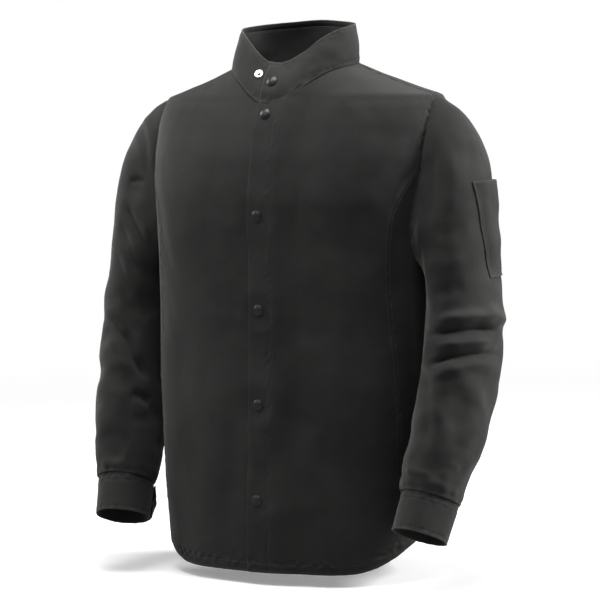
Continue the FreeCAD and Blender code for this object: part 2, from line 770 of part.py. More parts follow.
def collar_sheet(start, end, steps, offset, half_thickness=HALF_COLLAR,
                 trims=(COLLAR_SEAM_TRIM, COLLAR_SEAM_TRIM)):
    """Piece of collar between two angles; start may be a function of the height share."""
    grid = []
    for i in range(steps + 1):
        across = mix(trims[0], 1 - trims[1], i / steps)
        column = []
        for j in range(7):
            share = j / 6
            first = start(share) if callable(start) else start
            column.append(raised(*collar_place(mix(first, end, across), share), offset))
        grid.append(column)
    return slab(grid, half_thickness)


def spare_stud():
    """Open stud: wide ring with a hollow nub."""
    return revolve([(0, 0), (SPARE_R, 0), (SPARE_R, 0.8), (SPARE_R - 0.7, 1.3), (4.2, 1.3),
                    (3.6, 0.9), (2.5, 0.9), (2.5, 3.6), (2.1, 4.0), (1.3, 4.0), (1.3, 1.2),
                    (0, 1.2)])


collar_snap_place = collar_place(collar_angle(COLLAR_SNAP_X, COLLAR_SNAP_SHARE),
                                 COLLAR_SNAP_SHARE)
spare_point, spare_normal = collar_place(collar_angle(SPARE_X, SPARE_SHARE), SPARE_SHARE)

left_end = collar_sheet(lambda share: collar_angle(COLLAR_LEFT_X, share), END_ANGLE, 10,
                        collar_lap_offset, trims=(0.0, COLLAR_SEAM_TRIM))
right_end = collar_sheet(lambda share: collar_angle(COLLAR_RIGHT_X, share), -180.0 - END_ANGLE,
                         12, 0.0, trims=(0.0, COLLAR_SEAM_TRIM))
nodes["collar_left_end"] = bore(left_end, [collar_snap_place])
nodes["collar_right_end"] = bore(right_end, [collar_snap_place, (spare_point, spare_normal)])

front_snaps.append(snap(*collar_snap_place, (-HALF_COLLAR, HALF_COLLAR),
                        (COLLAR_LAP - HALF_COLLAR, COLLAR_LAP + HALF_COLLAR),
                        COLLAR_SNAP_SAG, CURVED_SEAT))
for part, shapes in zip(SNAP_PARTS, zip(*front_snaps)):
    nodes["front_snap_%ss" % part] = Part.makeCompound(list(shapes))

nodes["collar_spare_stud"] = placed(
    spare_stud(), spare_point + spare_normal * (HALF_COLLAR + CURVED_SEAT), spare_normal)
nodes["collar_spare_post"] = placed(
    snap_post(COLLAR_T + 0.6), spare_point - spare_normal * (HALF_COLLAR + SPARE_POST_DEPTH),
    spare_normal)

nodes["left_collar_fold"] = collar_sheet(END_ANGLE, FOLD_ANGLE, 8, collar_lap_offset)
nodes["right_collar_fold"] = collar_sheet(-180.0 - END_ANGLE, -180.0 - FOLD_ANGLE, 8, 0.0)
for name, offset in (("collar_back", PLY_OFFSET), ("collar_lining", -PLY_OFFSET)):
    nodes[name] = collar_sheet(FOLD_ANGLE, 180.0 - FOLD_ANGLE, 30, offset, HALF_CLOTH,
                               (COLLAR_BACK_TRIM, COLLAR_BACK_TRIM))

# ---------------------------------------------------------------- hanger loop
LOOP_HALF, LOOP_DROP, LOOP_W, LOOP_T = 32.0, 20.0, 7.0, 1.2
LOOP_SHARE = 0.16                     # height of its ends, share of the collar height
LOOP_GAP, LOOP_BELLY = 0.95, 1.5      # its middle off the collar: at the ends, more between


def loop_place(share):
    """Strap hanging between two points low on the inside of the collar back."""
    x = mix(-LOOP_HALF, LOOP_HALF, share)
    hang = 1 - (x / LOOP_HALF)**2
    angle = math.degrees(math.atan2(1.0, x / COLLAR_TOP_HALF_W))
    point, normal = collar_place(angle, LOOP_SHARE)
    inward = HALF_COLLAR + LOOP_GAP + LOOP_BELLY * hang
    return point - normal * inward - Vector(0, 0, LOOP_DROP * hang), normal


def hang_loop():
    grid = []
    for i in range(17):
        share = i / 16
        point, normal = loop_place(share)
        ahead, behind = loop_place(min(1.0, share + 0.01)), loop_place(max(0.0, share - 0.01))
        along = (ahead[0] - behind[0]).normalize()
        across = along.cross(normal).normalize()
        grid.append([(point + across * (LOOP_W * (j / 2 - 0.5)), normal) for j in range(3)])
    return slab(grid, LOOP_T / 2)


nodes["hang_loop"] = hang_loop()

# ---------------------------------------------------------------- sleeves
# Middle line of the left sleeve and its half widths across and front to back: (z, value)
ARM_X = pchip([
    (78, 236), (132, 248.3), (144, 249.2), (165, 251), (215, 258.5), (252, 262), (300, 265.3),
    (370, 265.5), (400, 264), (425, 262)])
ARM_Y = pchip([
    (78, -122), (135, -97), (215, -64), (300, -30), (370, -14), (400, -10), (425, -8)])
ARM_HALF_W = pchip([
    (78, 38), (100, 40), (132, 42), (144, 43.8), (165, 45.6), (215, 47.5), (252, 48),
    (300, 49.3), (370, 49.3), (400, 48), (425, 46.6)])
ARM_HALF_D = pchip([
    (78, 41), (100, 43), (132, 45.2), (144, 49), (165, 54.5), (215, 65), (300, 75), (370, 77),
    (400, 77), (425, 76)])
ARM_TOP_Z = 425.0                     # the sleeve head ends and the plain sleeve starts
HEAD_START = 2.2                      # the sleeve head starts this far off the armhole
HEAD_LEAN = -7.0                      # forward lean (y) of the top of the head
AROUND_STEPS = 24
SLEEVE_GAP = 0.4                      # between two pieces of the sleeve
HEAD_LOW_Z, CUFF_Z = 390.0, 132.0     # lower ends of the sleeve head piece and the forearm
HEAD_EXTRA_Z = ARM_TOP_Z - 17
# name, upper z, lower z, grid steps
SLEEVE_PIECES = (
    ("upper_sleeve", HEAD_LOW_Z, 350.0, 4),
    ("elbow_sleeve", 350.0, 252.0, 8),
    ("forearm_sleeve", 252.0, CUFF_Z, 9))


def arm_middle(z):
    return Vector(ARM_X(z), ARM_Y(z), z)


def arm_frame(z):
    """Middle of the arm and its directions down the arm, outward and forward."""
    down = (arm_middle(z - 4) - arm_middle(z + 4)).normalize()
    outward = (Vector(1, 0, 0) - down * down.x).normalize()
    return arm_middle(z), down, outward, down.cross(outward)


def arm_ring(phi, z):
    middle, _, outward, forward = arm_frame(z)
    turn = math.radians(phi)
    return (middle + outward * (ARM_HALF_W(z) * math.cos(turn))
            + forward * (ARM_HALF_D(z) * math.sin(turn)))


def armhole_key(phi):
    """Armhole key at a sleeve angle: the front half, then the back half."""
    phi = phi % 360.0
    if phi <= 180:
        return phi / 180.0 * BOTTOM_KEY
    return BOTTOM_KEY + (phi - 180.0) / 180.0 * (ARMHOLE_END - BOTTOM_KEY)


def head_point(phi, share):
    """Sleeve head: Bezier from the armhole (0) to the top of the plain sleeve (1)."""
    cos, sin = math.cos(math.radians(phi)), math.sin(math.radians(phi))
    under = (1 - cos) / 2
    upness = max(0.0, cos)
    leave = Vector(0.93 - 0.18 * under, -0.30 * sin, -0.36 - 0.34 * under).normalize()
    start = armhole_point(armhole_key(phi)) + leave * HEAD_START
    end = arm_ring(phi, ARM_TOP_Z)
    arrive = (arm_ring(phi, ARM_TOP_Z - 4) - arm_ring(phi, ARM_TOP_Z + 4)).normalize()
    chord = (end - start).Length
    lean = Vector(0, HEAD_LEAN * upness, 0)
    start_handle = start + leave * ((0.30 + 0.05 * upness) * chord) + lean
    end_handle = end - arrive * (0.42 * chord) + lean
    rest = 1 - share
    return (start * rest**3 + start_handle * (3 * share * rest**2)
            + end_handle * (3 * share * share * rest) + end * share**3)


def run_of_z(z):
    """Run down the plain sleeve: 1 at its top, one more for every 100 mm."""
    return 1.0 + (ARM_TOP_Z - z) / 100.0


def z_of_run(run):
    return ARM_TOP_Z - (run - 1.0) * 100.0


def sleeve_point(phi, run):
    """Sleeve surface: run 0..1 on the sleeve head, above 1 down the arm."""
    return head_point(phi, run) if run <= 1.0 else arm_ring(phi, z_of_run(run))


def raw_normal(phi, run):
    around = sleeve_point(phi + 1.0, run) - sleeve_point(phi - 1.0, run)
    along = sleeve_point(phi, run + 0.02) - sleeve_point(phi, max(0.0, run - 0.02))
    return along.cross(around).normalize()


HEAD_SIGN = 1.0 if raw_normal(0.0, 0.5).x > 0 else -1.0     # turns head normals outward


def sleeve_place(phi, run):
    """Sleeve point and its outward normal."""
    point, normal = sleeve_point(phi, run), raw_normal(phi, run)
    if run <= 0.8:
        return point, normal * HEAD_SIGN
    middle = arm_middle(400 if run <= 1 else z_of_run(run))
    if normal.dot(Vector(point.x - middle.x, point.y - middle.y, 0)) < 0:
        normal = normal * -1
    return point, normal


def tube_around(place, stations, half_thickness):
    """Tube through place(phi, station) pairs."""
    return tube([[place(360.0 * i / AROUND_STEPS, station) for station in stations]
                 for i in range(AROUND_STEPS)], half_thickness)


def runs(start, end, steps):
    return [mix(start, end, i / steps) for i in range(steps + 1)]


left_arm = {}
left_arm["sleeve_cap"] = tube_around(
    sleeve_place, runs(0.0, 1.0, 11) + [run_of_z(HEAD_EXTRA_Z), run_of_z(HEAD_LOW_Z)], HALF_CLOTH)
for name, upper, lower, steps in SLEEVE_PIECES:
    stations = runs(run_of_z(upper - SLEEVE_GAP), run_of_z(lower), steps)
    left_arm[name] = tube_around(sleeve_place, stations, HALF_CLOTH)

# ---------------------------------------------------------------- cuffs
CUFF_H, CUFF_HALF_W, CUFF_HALF_D = 52.0, 39.5, 42.5
CUFF_TAPER = 0.035                    # share lost from the top edge to the bottom edge
cuff_middle, CUFF_DOWN, CUFF_OUT, CUFF_FORWARD = arm_frame(CUFF_Z - 2)
CUFF_TOP = cuff_middle + CUFF_DOWN * 1.6

TAB_ROOT, TAB_END, TAB_SNAP = 292.0, 214.0, 232.0     # sleeve angles
TAB_RISE = 36.0                       # angle over which the tab lifts off the cuff
TAB_T, TAB_INSET = 2.0, 2             # thickness; tab edges inside the cuff edges
TAB_LOW = HALF_CUFF + 0.35 + TAB_T / 2          # middle of the tab at its root
TAB_HIGH = HALF_CUFF + STACK + TAB_T / 2        # and at the snap
CUFF_SNAP_SAG = 0.5
CUFF_SEAT = CURVED_SEAT + 0.1


def cuff_point(phi, drop):
    """Straight cuff band; drop is measured down from its top edge."""
    turn = math.radians(phi)
    size = 1.0 - CUFF_TAPER * drop / CUFF_H
    return (CUFF_TOP + CUFF_DOWN * drop + CUFF_OUT * (CUFF_HALF_W * size * math.cos(turn))
            + CUFF_FORWARD * (CUFF_HALF_D * size * math.sin(turn)))


def cuff_place(phi, drop):
    """Cuff point and its outward normal."""
    around = cuff_point(phi + 1, drop) - cuff_point(phi - 1, drop)
    return cuff_point(phi, drop), around.cross(CUFF_DOWN).normalize()


def cuff_tab():
    """Tab from its root on the back of the cuff towards the inner side."""
    grid = []
    for i in range(13):
        phi = mix(TAB_ROOT, TAB_END, i / 12)
        height = mix(TAB_LOW, TAB_HIGH, smooth((TAB_ROOT - phi) / TAB_RISE))
        grid.append([raised(*cuff_place(phi, drop), height)
                     for drop in (TAB_INSET, CUFF_H / 2, CUFF_H - TAB_INSET)])
    return slab(grid, TAB_T / 2)


cuff_snap_place = cuff_place(TAB_SNAP, CUFF_H * 0.5)
cuff_band = tube_around(cuff_place, (0, CUFF_H / 2, CUFF_H), HALF_CUFF)
left_arm["cuff"] = bore(cuff_band, [cuff_snap_place])
left_arm["cuff_tab"] = bore(cuff_tab(), [cuff_snap_place])
cuff_snap = snap(*cuff_snap_place, (-HALF_CUFF, HALF_CUFF),
                 (TAB_HIGH - TAB_T / 2, TAB_HIGH + TAB_T / 2), CUFF_SNAP_SAG, CUFF_SEAT)
for part, shape in zip(SNAP_PARTS, cuff_snap):
    left_arm["cuff_snap_" + part] = shape

for name, shape in left_arm.items():
    nodes["left_" + name] = shape
    nodes["right_" + name] = mirror(shape)

# ---------------------------------------------------------------- sleeve pocket
POCKET_LOW_Z, POCKET_H = 437.0, 134.0
POCKET_BACK, POCKET_FRONT_TOP, POCKET_FRONT_LOW = -55.0, 23.0, 10.0     # sleeve angles
POCKET_OFFSET, POCKET_HALF_T = 2.0, 1.2


def sleeve_pocket():
    """Pocket on the wearer's left upper arm."""
    grid = []
    for i in range(9):
        column = []
        for j in range(9):
            z = mix(POCKET_LOW_Z + POCKET_H, POCKET_LOW_Z, j / 8)
            front = mix(POCKET_FRONT_TOP, POCKET_FRONT_LOW, j / 8)
            phi = mix(POCKET_BACK, front, i / 8)
            run = bisect(0.0, 1.0, lambda share: head_point(phi, share).z > z)
            column.append(raised(*sleeve_place(phi, run), POCKET_OFFSET))
        grid.append(column)
    return slab(grid, POCKET_HALF_T)


nodes["left_sleeve_pocket"] = sleeve_pocket()

# ---------------------------------------------------------------- set down and write
surface_points = [point for shape in nodes.values() for point in shape.tessellate(0.05)[0]]
all_x = [point.x for point in surface_points]
all_y = [point.y for point in surface_points]
lowest = min(point.z for point in surface_points)
SHIFT = Vector(-(min(all_x) + max(all_x)) / 2, -(min(all_y) + max(all_y)) / 2, -lowest)

for name, shape in nodes.items():
    # a bored piece may come back as a compound of one solid
    if isinstance(shape, Part.Compound) and len(shape.Solids) == 1:
        shape = shape.Solids[0]
    shape = shape.copy()
    shape.translate(SHIFT)
    shape.exportStep("parts/%s.step" % name)
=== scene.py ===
# An empty stand-collar jacket with a row of snaps down the front and a pocket on the left sleeve.
# The pattern is in millimetres: z up, the front towards -y, the wearer's left towards +x.
# SHIFT sets the pattern down in the frame, which is in metres. Angles are in degrees; round the
# torso and collar they run from +x, with -90 at the middle of the front.
import json
import math

import bpy
import numpy as np
from mathutils import Matrix, Vector


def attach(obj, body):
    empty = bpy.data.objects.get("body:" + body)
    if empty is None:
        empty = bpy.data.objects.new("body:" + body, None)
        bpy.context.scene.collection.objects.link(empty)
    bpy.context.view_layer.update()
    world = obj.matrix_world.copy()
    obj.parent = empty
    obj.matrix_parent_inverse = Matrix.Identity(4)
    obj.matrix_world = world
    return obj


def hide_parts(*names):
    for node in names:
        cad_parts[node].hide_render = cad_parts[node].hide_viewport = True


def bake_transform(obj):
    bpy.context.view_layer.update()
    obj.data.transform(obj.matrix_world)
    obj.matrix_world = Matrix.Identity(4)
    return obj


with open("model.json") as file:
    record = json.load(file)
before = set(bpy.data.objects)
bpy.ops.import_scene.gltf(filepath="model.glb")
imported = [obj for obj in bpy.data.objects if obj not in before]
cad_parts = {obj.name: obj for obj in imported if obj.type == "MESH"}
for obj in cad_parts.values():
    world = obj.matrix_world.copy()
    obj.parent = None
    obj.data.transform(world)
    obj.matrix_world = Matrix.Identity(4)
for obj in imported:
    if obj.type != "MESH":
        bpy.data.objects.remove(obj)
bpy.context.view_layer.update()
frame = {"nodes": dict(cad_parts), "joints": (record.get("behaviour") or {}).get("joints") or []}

SLEEVE_JOINT = (205.0, 0.0, 535.0)          # the joint's place in the pattern
joint = next(j for j in frame["joints"] if j["name"] == "left_sleeve_raise")
SHIFT = np.array(joint["pos_m"]) * 1000.0 - SLEEVE_JOINT


# ---------------------------------------------------------------------------
# Curves and vectors
# ---------------------------------------------------------------------------
def hermite(t, start, start_slope, end, end_slope):
    return ((2 * t**3 - 3 * t * t + 1) * start + (t**3 - 2 * t * t + t) * start_slope
            + (-2 * t**3 + 3 * t * t) * end + (t**3 - t * t) * end_slope)


def monotone_curve(stations):
    """Monotone cubic through (position, value) stations, running straight on beyond them."""
    at, value = np.array(stations, float).T
    step = np.diff(at)
    slope = np.diff(value) / step
    tangent = np.zeros(len(at))
    tangent[0], tangent[-1] = slope[0], slope[-1]
    for i in range(1, len(at) - 1):
        if slope[i - 1] * slope[i] > 0:
            weight_a = 2 * step[i] + step[i - 1]
            weight_b = step[i] + 2 * step[i - 1]
            tangent[i] = (weight_a + weight_b) / (weight_a / slope[i - 1] + weight_b / slope[i])

    def curve(z):
        z = np.asarray(z, float)
        inside = np.clip(z, at[0], at[-1])
        i = np.clip(np.searchsorted(at, inside, side="right") - 1, 0, len(at) - 2)
        t = (inside - at[i]) / step[i]
        result = hermite(t, value[i], step[i] * tangent[i],
                         value[i + 1], step[i] * tangent[i + 1])
        above = np.where(z > at[-1], (z - at[-1]) * tangent[-1], 0)
        below = np.where(z < at[0], (z - at[0]) * tangent[0], 0)
        return result + above + below
    return curve


def vec(x, y, z):
    x, y, z = np.broadcast_arrays(np.asarray(x, float), np.asarray(y, float),
                                  np.asarray(z, float))
    return np.stack([x, y, z], -1)


def unit(vectors):
    return vectors / np.maximum(np.linalg.norm(vectors, axis=-1, keepdims=True), 1e-12)


def mix(a, b, t):
    return a + (b - a) * t


def smooth(t):
    t = np.clip(t, 0, 1)
    return t * t * (3 - 2 * t)


def bell(distance, width):
    return np.exp(-(distance / width)**2)


def angle_between(a, b):
    """a - b brought into -180..180."""
    return (a - b + 180.0) % 360.0 - 180.0


def interp_vectors(at, stations, vectors):
    return np.stack([np.interp(at, stations, vectors[..., i]) for i in range(3)], -1)


def on_side(points, side):
    """The left-hand pattern for side 1, its mirror image for side -1."""
    return points * [side, 1, 1]


def in_frame(point):
    return tuple((point + SHIFT) / 1000)


# ---------------------------------------------------------------------------
# Pattern dimensions
# ---------------------------------------------------------------------------
CLOTH_HALF = 0.6                            # half thickness of the shell cloth
SNAP_STACK = 3.9                            # a closed snap between two cloths
LAP = CLOTH_HALF + SNAP_STACK + 2 * CLOTH_HALF + 0.1 + CLOTH_HALF
LAP_SLACK = 3.5                             # height of the lap between snaps
FACING_DEPTH = 1.32                         # facing below the middle of its front
SNAP_Z = (667.0, 526.0, 392.0, 257.0, 121.0)

# (z, value) of the torso: half width, front y, back y, exponent of the superellipse
HALF_W = monotone_curve([
    (0, 201), (60, 203), (150, 206), (300, 210), (400, 212), (440, 213), (520, 217), (600, 223),
    (650, 224), (676, 221), (692, 217), (704, 186), (719, 143), (739, 93), (754, 60)])
FRONT_Y = monotone_curve([
    (0, -145), (60, -144), (125, -142), (265, -134), (400, -129), (540, -130), (600, -123),
    (650, -107), (690, -92), (712, -84), (740, -74), (754, -68)])
BACK_Y = monotone_curve([
    (0, 134), (60, 134), (150, 131), (300, 126), (420, 134), (520, 144), (600, 142), (650, 130),
    (690, 112), (719, 92), (739, 74), (754, 58)])
SQUARE = monotone_curve([
    (0, 2.2), (60, 2.4), (150, 2.8), (300, 3.1), (450, 3.1), (600, 2.9), (676, 2.45),
    (692, 2.2), (739, 2.0), (754, 2.0)])
SHOULDER_Z, TORSO_TOP_Z = 676.0, 754.0

# (angle, z) of the hem, from the middle of the front round to the middle of the back
HEM_Z = monotone_curve([
    (-90, 19), (-60, 18.5), (-50, 19.5), (-40, 26.5), (-30, 40), (-20, 56), (-10, 67), (0, 72),
    (15, 71), (30, 65), (45, 53), (60, 26), (72, 8), (90, 1)])

# neckline, an ellipse in plan, and the stand collar over it
NECK_HALF_W, NECK_FRONT_Y, NECK_BACK_Y = 94.0, -95.0, 67.0
NECK_MID_Y = (NECK_FRONT_Y + NECK_BACK_Y) / 2
NECK_HALF_D = (NECK_BACK_Y - NECK_FRONT_Y) / 2
COLLAR_H_FRONT, COLLAR_H_SIDE, COLLAR_H_BACK = 57.0, 56.0, 58.0
COLLAR_HALF_W, COLLAR_FRONT_Y, COLLAR_BACK_Y = 87.0, -62.0, 57.0      # at its top edge
COLLAR_T = 2.6
NECK_TRIM = 1.1                             # gap between body cloth and neckline
SHOULDER_ANGLE = 10.9                       # where the shoulder seam meets the neckline

# (y, z) round the armhole, from the shoulder down the front and up the back
ARMHOLE = np.array([
    (0, 692), (-18, 675), (-33, 650), (-44, 618), (-50, 588), (-60, 548), (-65, 508), (-58, 472),
    (-37, 451), (-6, 444), (28, 451), (54, 474), (66, 512), (69, 545), (66, 566), (60, 600),
    (49, 640), (32, 670), (14, 687)], float)
ARM_COUNT = len(ARMHOLE)
ARM_SLOPE = (np.roll(ARMHOLE, -1, 0) - np.roll(ARMHOLE, 1, 0)) / 2
FRONT_KEY, BACK_KEY = 4, 14                 # armhole points where the long seams end

# (z, y) of the long seams on either side of the side panel
FRONT_SEAM_Y = monotone_curve([(0, -72), (250, -80), (480, -90), (522, -87), (556, -76),
                               (588, -50)])
BACK_SEAM_Y = monotone_curve([(0, 76), (250, 82), (440, 96), (500, 92), (540, 80), (566, 66)])
FRONT_SEAM_TOP, BACK_SEAM_TOP = ARMHOLE[FRONT_KEY, 1], ARMHOLE[BACK_KEY, 1]
SEAM_FOOT_Z = 40.0                          # height at which the seam's hem angle is read

# shares of the panel grids
SEAM_SHARE = 0.78                           # of the side edge, below the armhole
FRONT_NECK_SHARE = 0.5                      # of the front's top, along the neckline
BACK_SHOULDER_SHARE = 0.27                  # of the back's top, along each shoulder

# (z, value) of the sleeve: centre x and y, half widths
SLEEVE_X = monotone_curve([
    (78, 236), (132, 248.3), (144, 249.2), (165, 251), (215, 258.5), (252, 262), (300, 265.3),
    (370, 265.5), (400, 264), (425, 262)])
SLEEVE_Y = monotone_curve([(78, -122), (135, -97), (215, -64), (300, -30), (370, -14),
                           (400, -10), (425, -8)])
SLEEVE_RX = monotone_curve([
    (78, 38), (100, 40), (132, 42), (144, 43.8), (165, 45.6), (215, 47.5), (252, 48),
    (300, 49.3), (370, 49.3), (400, 48), (425, 46.6)])
SLEEVE_RY = monotone_curve([
    (78, 41), (100, 43), (132, 45.2), (144, 49), (165, 54.5), (215, 65), (300, 75), (370, 77),
    (400, 77), (425, 76)])
SLEEVE_TOP, SLEEVE_SPLIT_Z, CUFF_Z = 425.0, 350.0, 132.0

CUFF_RX, CUFF_RY, CUFF_T, CUFF_H = 39.5, 42.5, 2.4, 52.0
TAB_ROOT, TAB_END, TAB_SNAP = 292.0, 214.0, 232.0       # angles round the cuff
TAB_SNAP_H = 26.0
TAB_T = 2.0
TAB_HIGH = CUFF_T / 2 + SNAP_STACK + TAB_T / 2
TAB_LOW = CUFF_T / 2 + 0.35 + TAB_T / 2


# ---------------------------------------------------------------------------
# Torso form
# ---------------------------------------------------------------------------
def torso_depth(z):
    """Middle y and half depth."""
    front, back = FRONT_Y(z), BACK_Y(z)
    return (front + back) / 2, (back - front) / 2


def torso_at(angle, z):
    angle, z = np.broadcast_arrays(np.asarray(angle, float), np.asarray(z, float))
    middle, half_depth = torso_depth(z)
    power = SQUARE(z)
    cosine, sine = np.cos(np.radians(angle)), np.sin(np.radians(angle))
    radius = (np.abs(cosine)**power + np.abs(sine)**power)**(-1.0 / power)
    return vec(HALF_W(z) * radius * cosine, middle + half_depth * radius * sine, z)


def angle_of_x(x, z):
    """Angle on the front of the torso."""
    power = SQUARE(z)
    share = np.minimum(np.abs(x) / HALF_W(z), 1.0)
    return np.degrees(np.arctan2(-(1 - share**power)**(1.0 / power), x / HALF_W(z)))


def angle_of_y(y, z):
    """Angle on the left of the torso."""
    power = SQUARE(z)
    middle, half_depth = torso_depth(z)
    sine = (y - middle) / half_depth
    cosine = (1 - np.minimum(np.abs(sine), 1.0)**power)**(1.0 / power)
    return np.degrees(np.arctan2(sine, cosine))


def front_at_x(x, z):
    return torso_at(angle_of_x(x, z), z)


def side_at_y(y, z):
    return torso_at(angle_of_y(y, z), z)


def torso_field(points):
    """Negative inside the torso, positive outside."""
    z = points[..., 2]
    half_w, power = np.maximum(HALF_W(z), 15.0), SQUARE(z)
    middle, half_depth = torso_depth(z)
    half_depth = np.maximum(half_depth, 15.0)
    return (np.abs(points[..., 0] / half_w)**power
            + np.abs((points[..., 1] - middle) / half_depth)**power)**(1.0 / power) - 1.0


def torso_gradient(points):
    return np.stack([torso_field(points + step) - torso_field(points - step)
                     for step in np.eye(3) * 0.5], -1)


def torso_normal(points):
    return unit(torso_gradient(points))


def onto_torso(points):
    for _ in range(7):
        slope = torso_gradient(points)
        steepness = np.maximum((slope * slope).sum(-1), 1e-12)
        points = points - slope * (torso_field(points) / steepness)[..., None]
    return points


def top_z(x, y):
    """Height of the shoulder slope over (x, y), by bisection."""
    x, y = np.broadcast_arrays(np.asarray(x, float), np.asarray(y, float))
    low, high = np.full(x.shape, SHOULDER_Z), np.full(x.shape, TORSO_TOP_Z)
    for _ in range(30):
        middle = (low + high) / 2
        inside = torso_field(vec(x, y, middle)) < 0
        low, high = np.where(inside, middle, low), np.where(inside, high, middle)
    return low


def hem_z(angle):
    turned = angle_between(np.asarray(angle, float), 0.0)
    left = (180 - np.abs(turned)) * np.where(turned > 0, 1, -1)
    return HEM_Z(np.where(np.abs(turned) <= 90, turned, left))


def neckline(angle, out=0.0):
    """Neckline on the torso, moved outwards over the cloth by 'out'."""
    angle = np.asarray(angle, float)

    def at(degrees):
        x = NECK_HALF_W * np.cos(np.radians(degrees))
        y = NECK_MID_Y + NECK_HALF_D * np.sin(np.radians(degrees))
        return vec(x, y, top_z(x, y))
    points = at(angle)
    if out:
        along = unit(at(angle + 0.5) - points)
        points = onto_torso(points + np.cross(along, torso_normal(points)) * out)
    return points


def neck_angle_of_x(x):
    return -np.degrees(np.arccos(np.clip(np.asarray(x, float) / NECK_HALF_W, -1, 1)))


def armhole_at(key):
    """Point of the armhole at a fractional index into ARMHOLE."""
    key = np.asarray(key, float) % ARM_COUNT
    i = key.astype(int) % ARM_COUNT
    j = (i + 1) % ARM_COUNT
    t = (key - np.floor(key))[..., None]
    flat = hermite(t, ARMHOLE[i], ARM_SLOPE[i], ARMHOLE[j], ARM_SLOPE[j])
    return side_at_y(flat[..., 0], flat[..., 1])


def shoulder_at(t):
    """Shoulder seam, from neckline (0) to armhole (1)."""
    t = np.asarray(t, float)
    start, end = neckline(SHOULDER_ANGLE, NECK_TRIM), armhole_at(0.0)
    x, y = mix(start[..., 0], end[..., 0], t), mix(start[..., 1], end[..., 1], t)
    points = vec(x, y, top_z(x, y))
    points = np.where(t[..., None] <= 0, start, points)
    return np.where(t[..., None] >= 1, end, points)


def coons(bottom, top, first, last, across, along):
    """Grid [across, along] on the torso, filled in between its four edges."""
    across, along = across[:, None, None], along[None, :, None]
    corners = (bottom[0] * (1 - across) * (1 - along) + bottom[-1] * across * (1 - along)
               + top[0] * (1 - across) * along + top[-1] * across * along)
    return onto_torso(bottom[:, None] * (1 - along) + top[:, None] * along
                      + first[None] * (1 - across) + last[None] * across - corners)


def seam_foot_angle(seam_y):
    return angle_of_y(seam_y(SEAM_FOOT_Z), SEAM_FOOT_Z)


def side_edge(seam_y, seam_top, start, key_from, key_to, along):
    """Edge of a front or back panel: up the long seam, then round the armhole."""
    z = mix(start[2], seam_top, np.clip(along / SEAM_SHARE, 0, 1))
    settle = smooth((z - start[2]) / 60.0)
    seam = side_at_y(seam_y(z), z)
    seam = onto_torso(vec(mix(start[0], seam[..., 0], settle),
                          mix(start[1], seam[..., 1], settle), z))
    above = np.clip((along - SEAM_SHARE) / (1 - SEAM_SHARE), 0, 1)
    armhole = armhole_at(mix(key_from, key_to, above))
    return np.where((along <= SEAM_SHARE)[:, None], seam, armhole)


# ---------------------------------------------------------------------------
# Collar, sleeve and cuff forms
# ---------------------------------------------------------------------------
def collar_at(angle, rise):
    """Collar surface; rise runs from 0 at the neckline to 1 at the top edge."""
    angle, rise = np.broadcast_arrays(np.asarray(angle, float), np.asarray(rise, float))
    base = neckline(angle)
    cosine, sine = np.cos(np.radians(angle)), np.sin(np.radians(angle))
    height = (COLLAR_H_SIDE + (COLLAR_H_BACK - COLLAR_H_SIDE) * np.maximum(sine, 0)**1.5
              + (COLLAR_H_FRONT - COLLAR_H_SIDE) * np.maximum(-sine, 0)**2)
    top = vec(COLLAR_HALF_W * cosine,
              (COLLAR_FRONT_Y + COLLAR_BACK_Y) / 2 + (COLLAR_BACK_Y - COLLAR_FRONT_Y) / 2 * sine,
              base[..., 2] + height)
    bow = 2.2 * np.sin(np.pi * rise)
    return base + (top - base) * rise[..., None] + vec(cosine * bow, sine * bow, 1 - rise)


def collar_normal(angle, rise):
    round_it = collar_at(angle + 0.6, rise) - collar_at(angle - 0.6, rise)
    up_it = collar_at(angle, rise + 0.01) - collar_at(angle, rise - 0.01)
    return unit(np.cross(round_it, up_it))


def collar_angle_of_x(x, rise):
    """Angle at which the front of the collar has the given x."""
    rise = np.asarray(rise, float)
    angle = np.full(rise.shape, -90.0)
    for _ in range(12):
        slope = (collar_at(angle + 0.2, rise)[..., 0] - collar_at(angle - 0.2, rise)[..., 0]) / 0.4
        angle = angle + (x - collar_at(angle, rise)[..., 0]) / slope
    return angle


def sleeve_frame(z):
    """Centre, downward direction and the two cross directions of the sleeve."""
    z = np.asarray(z, float)
    centre = vec(SLEEVE_X(z), SLEEVE_Y(z), z)
    down = unit(vec(SLEEVE_X(z - 4), SLEEVE_Y(z - 4), z - 4)
                - vec(SLEEVE_X(z + 4), SLEEVE_Y(z + 4), z + 4))
    outer = unit(np.array([1.0, 0, 0]) - down * down[..., :1])
    front = np.cross(outer, down)
    front = np.where(front[..., 1:2] > 0, -front, front)
    return centre, down, outer, front


def sleeve_ring(angle, z):
    angle, z = np.broadcast_arrays(np.asarray(angle, float), np.asarray(z, float))
    centre, _, outer, front = sleeve_frame(z)
    turn = np.radians(angle)
    return (centre + outer * (SLEEVE_RX(z) * np.cos(turn))[..., None]
            + front * (SLEEVE_RY(z) * np.sin(turn))[..., None])


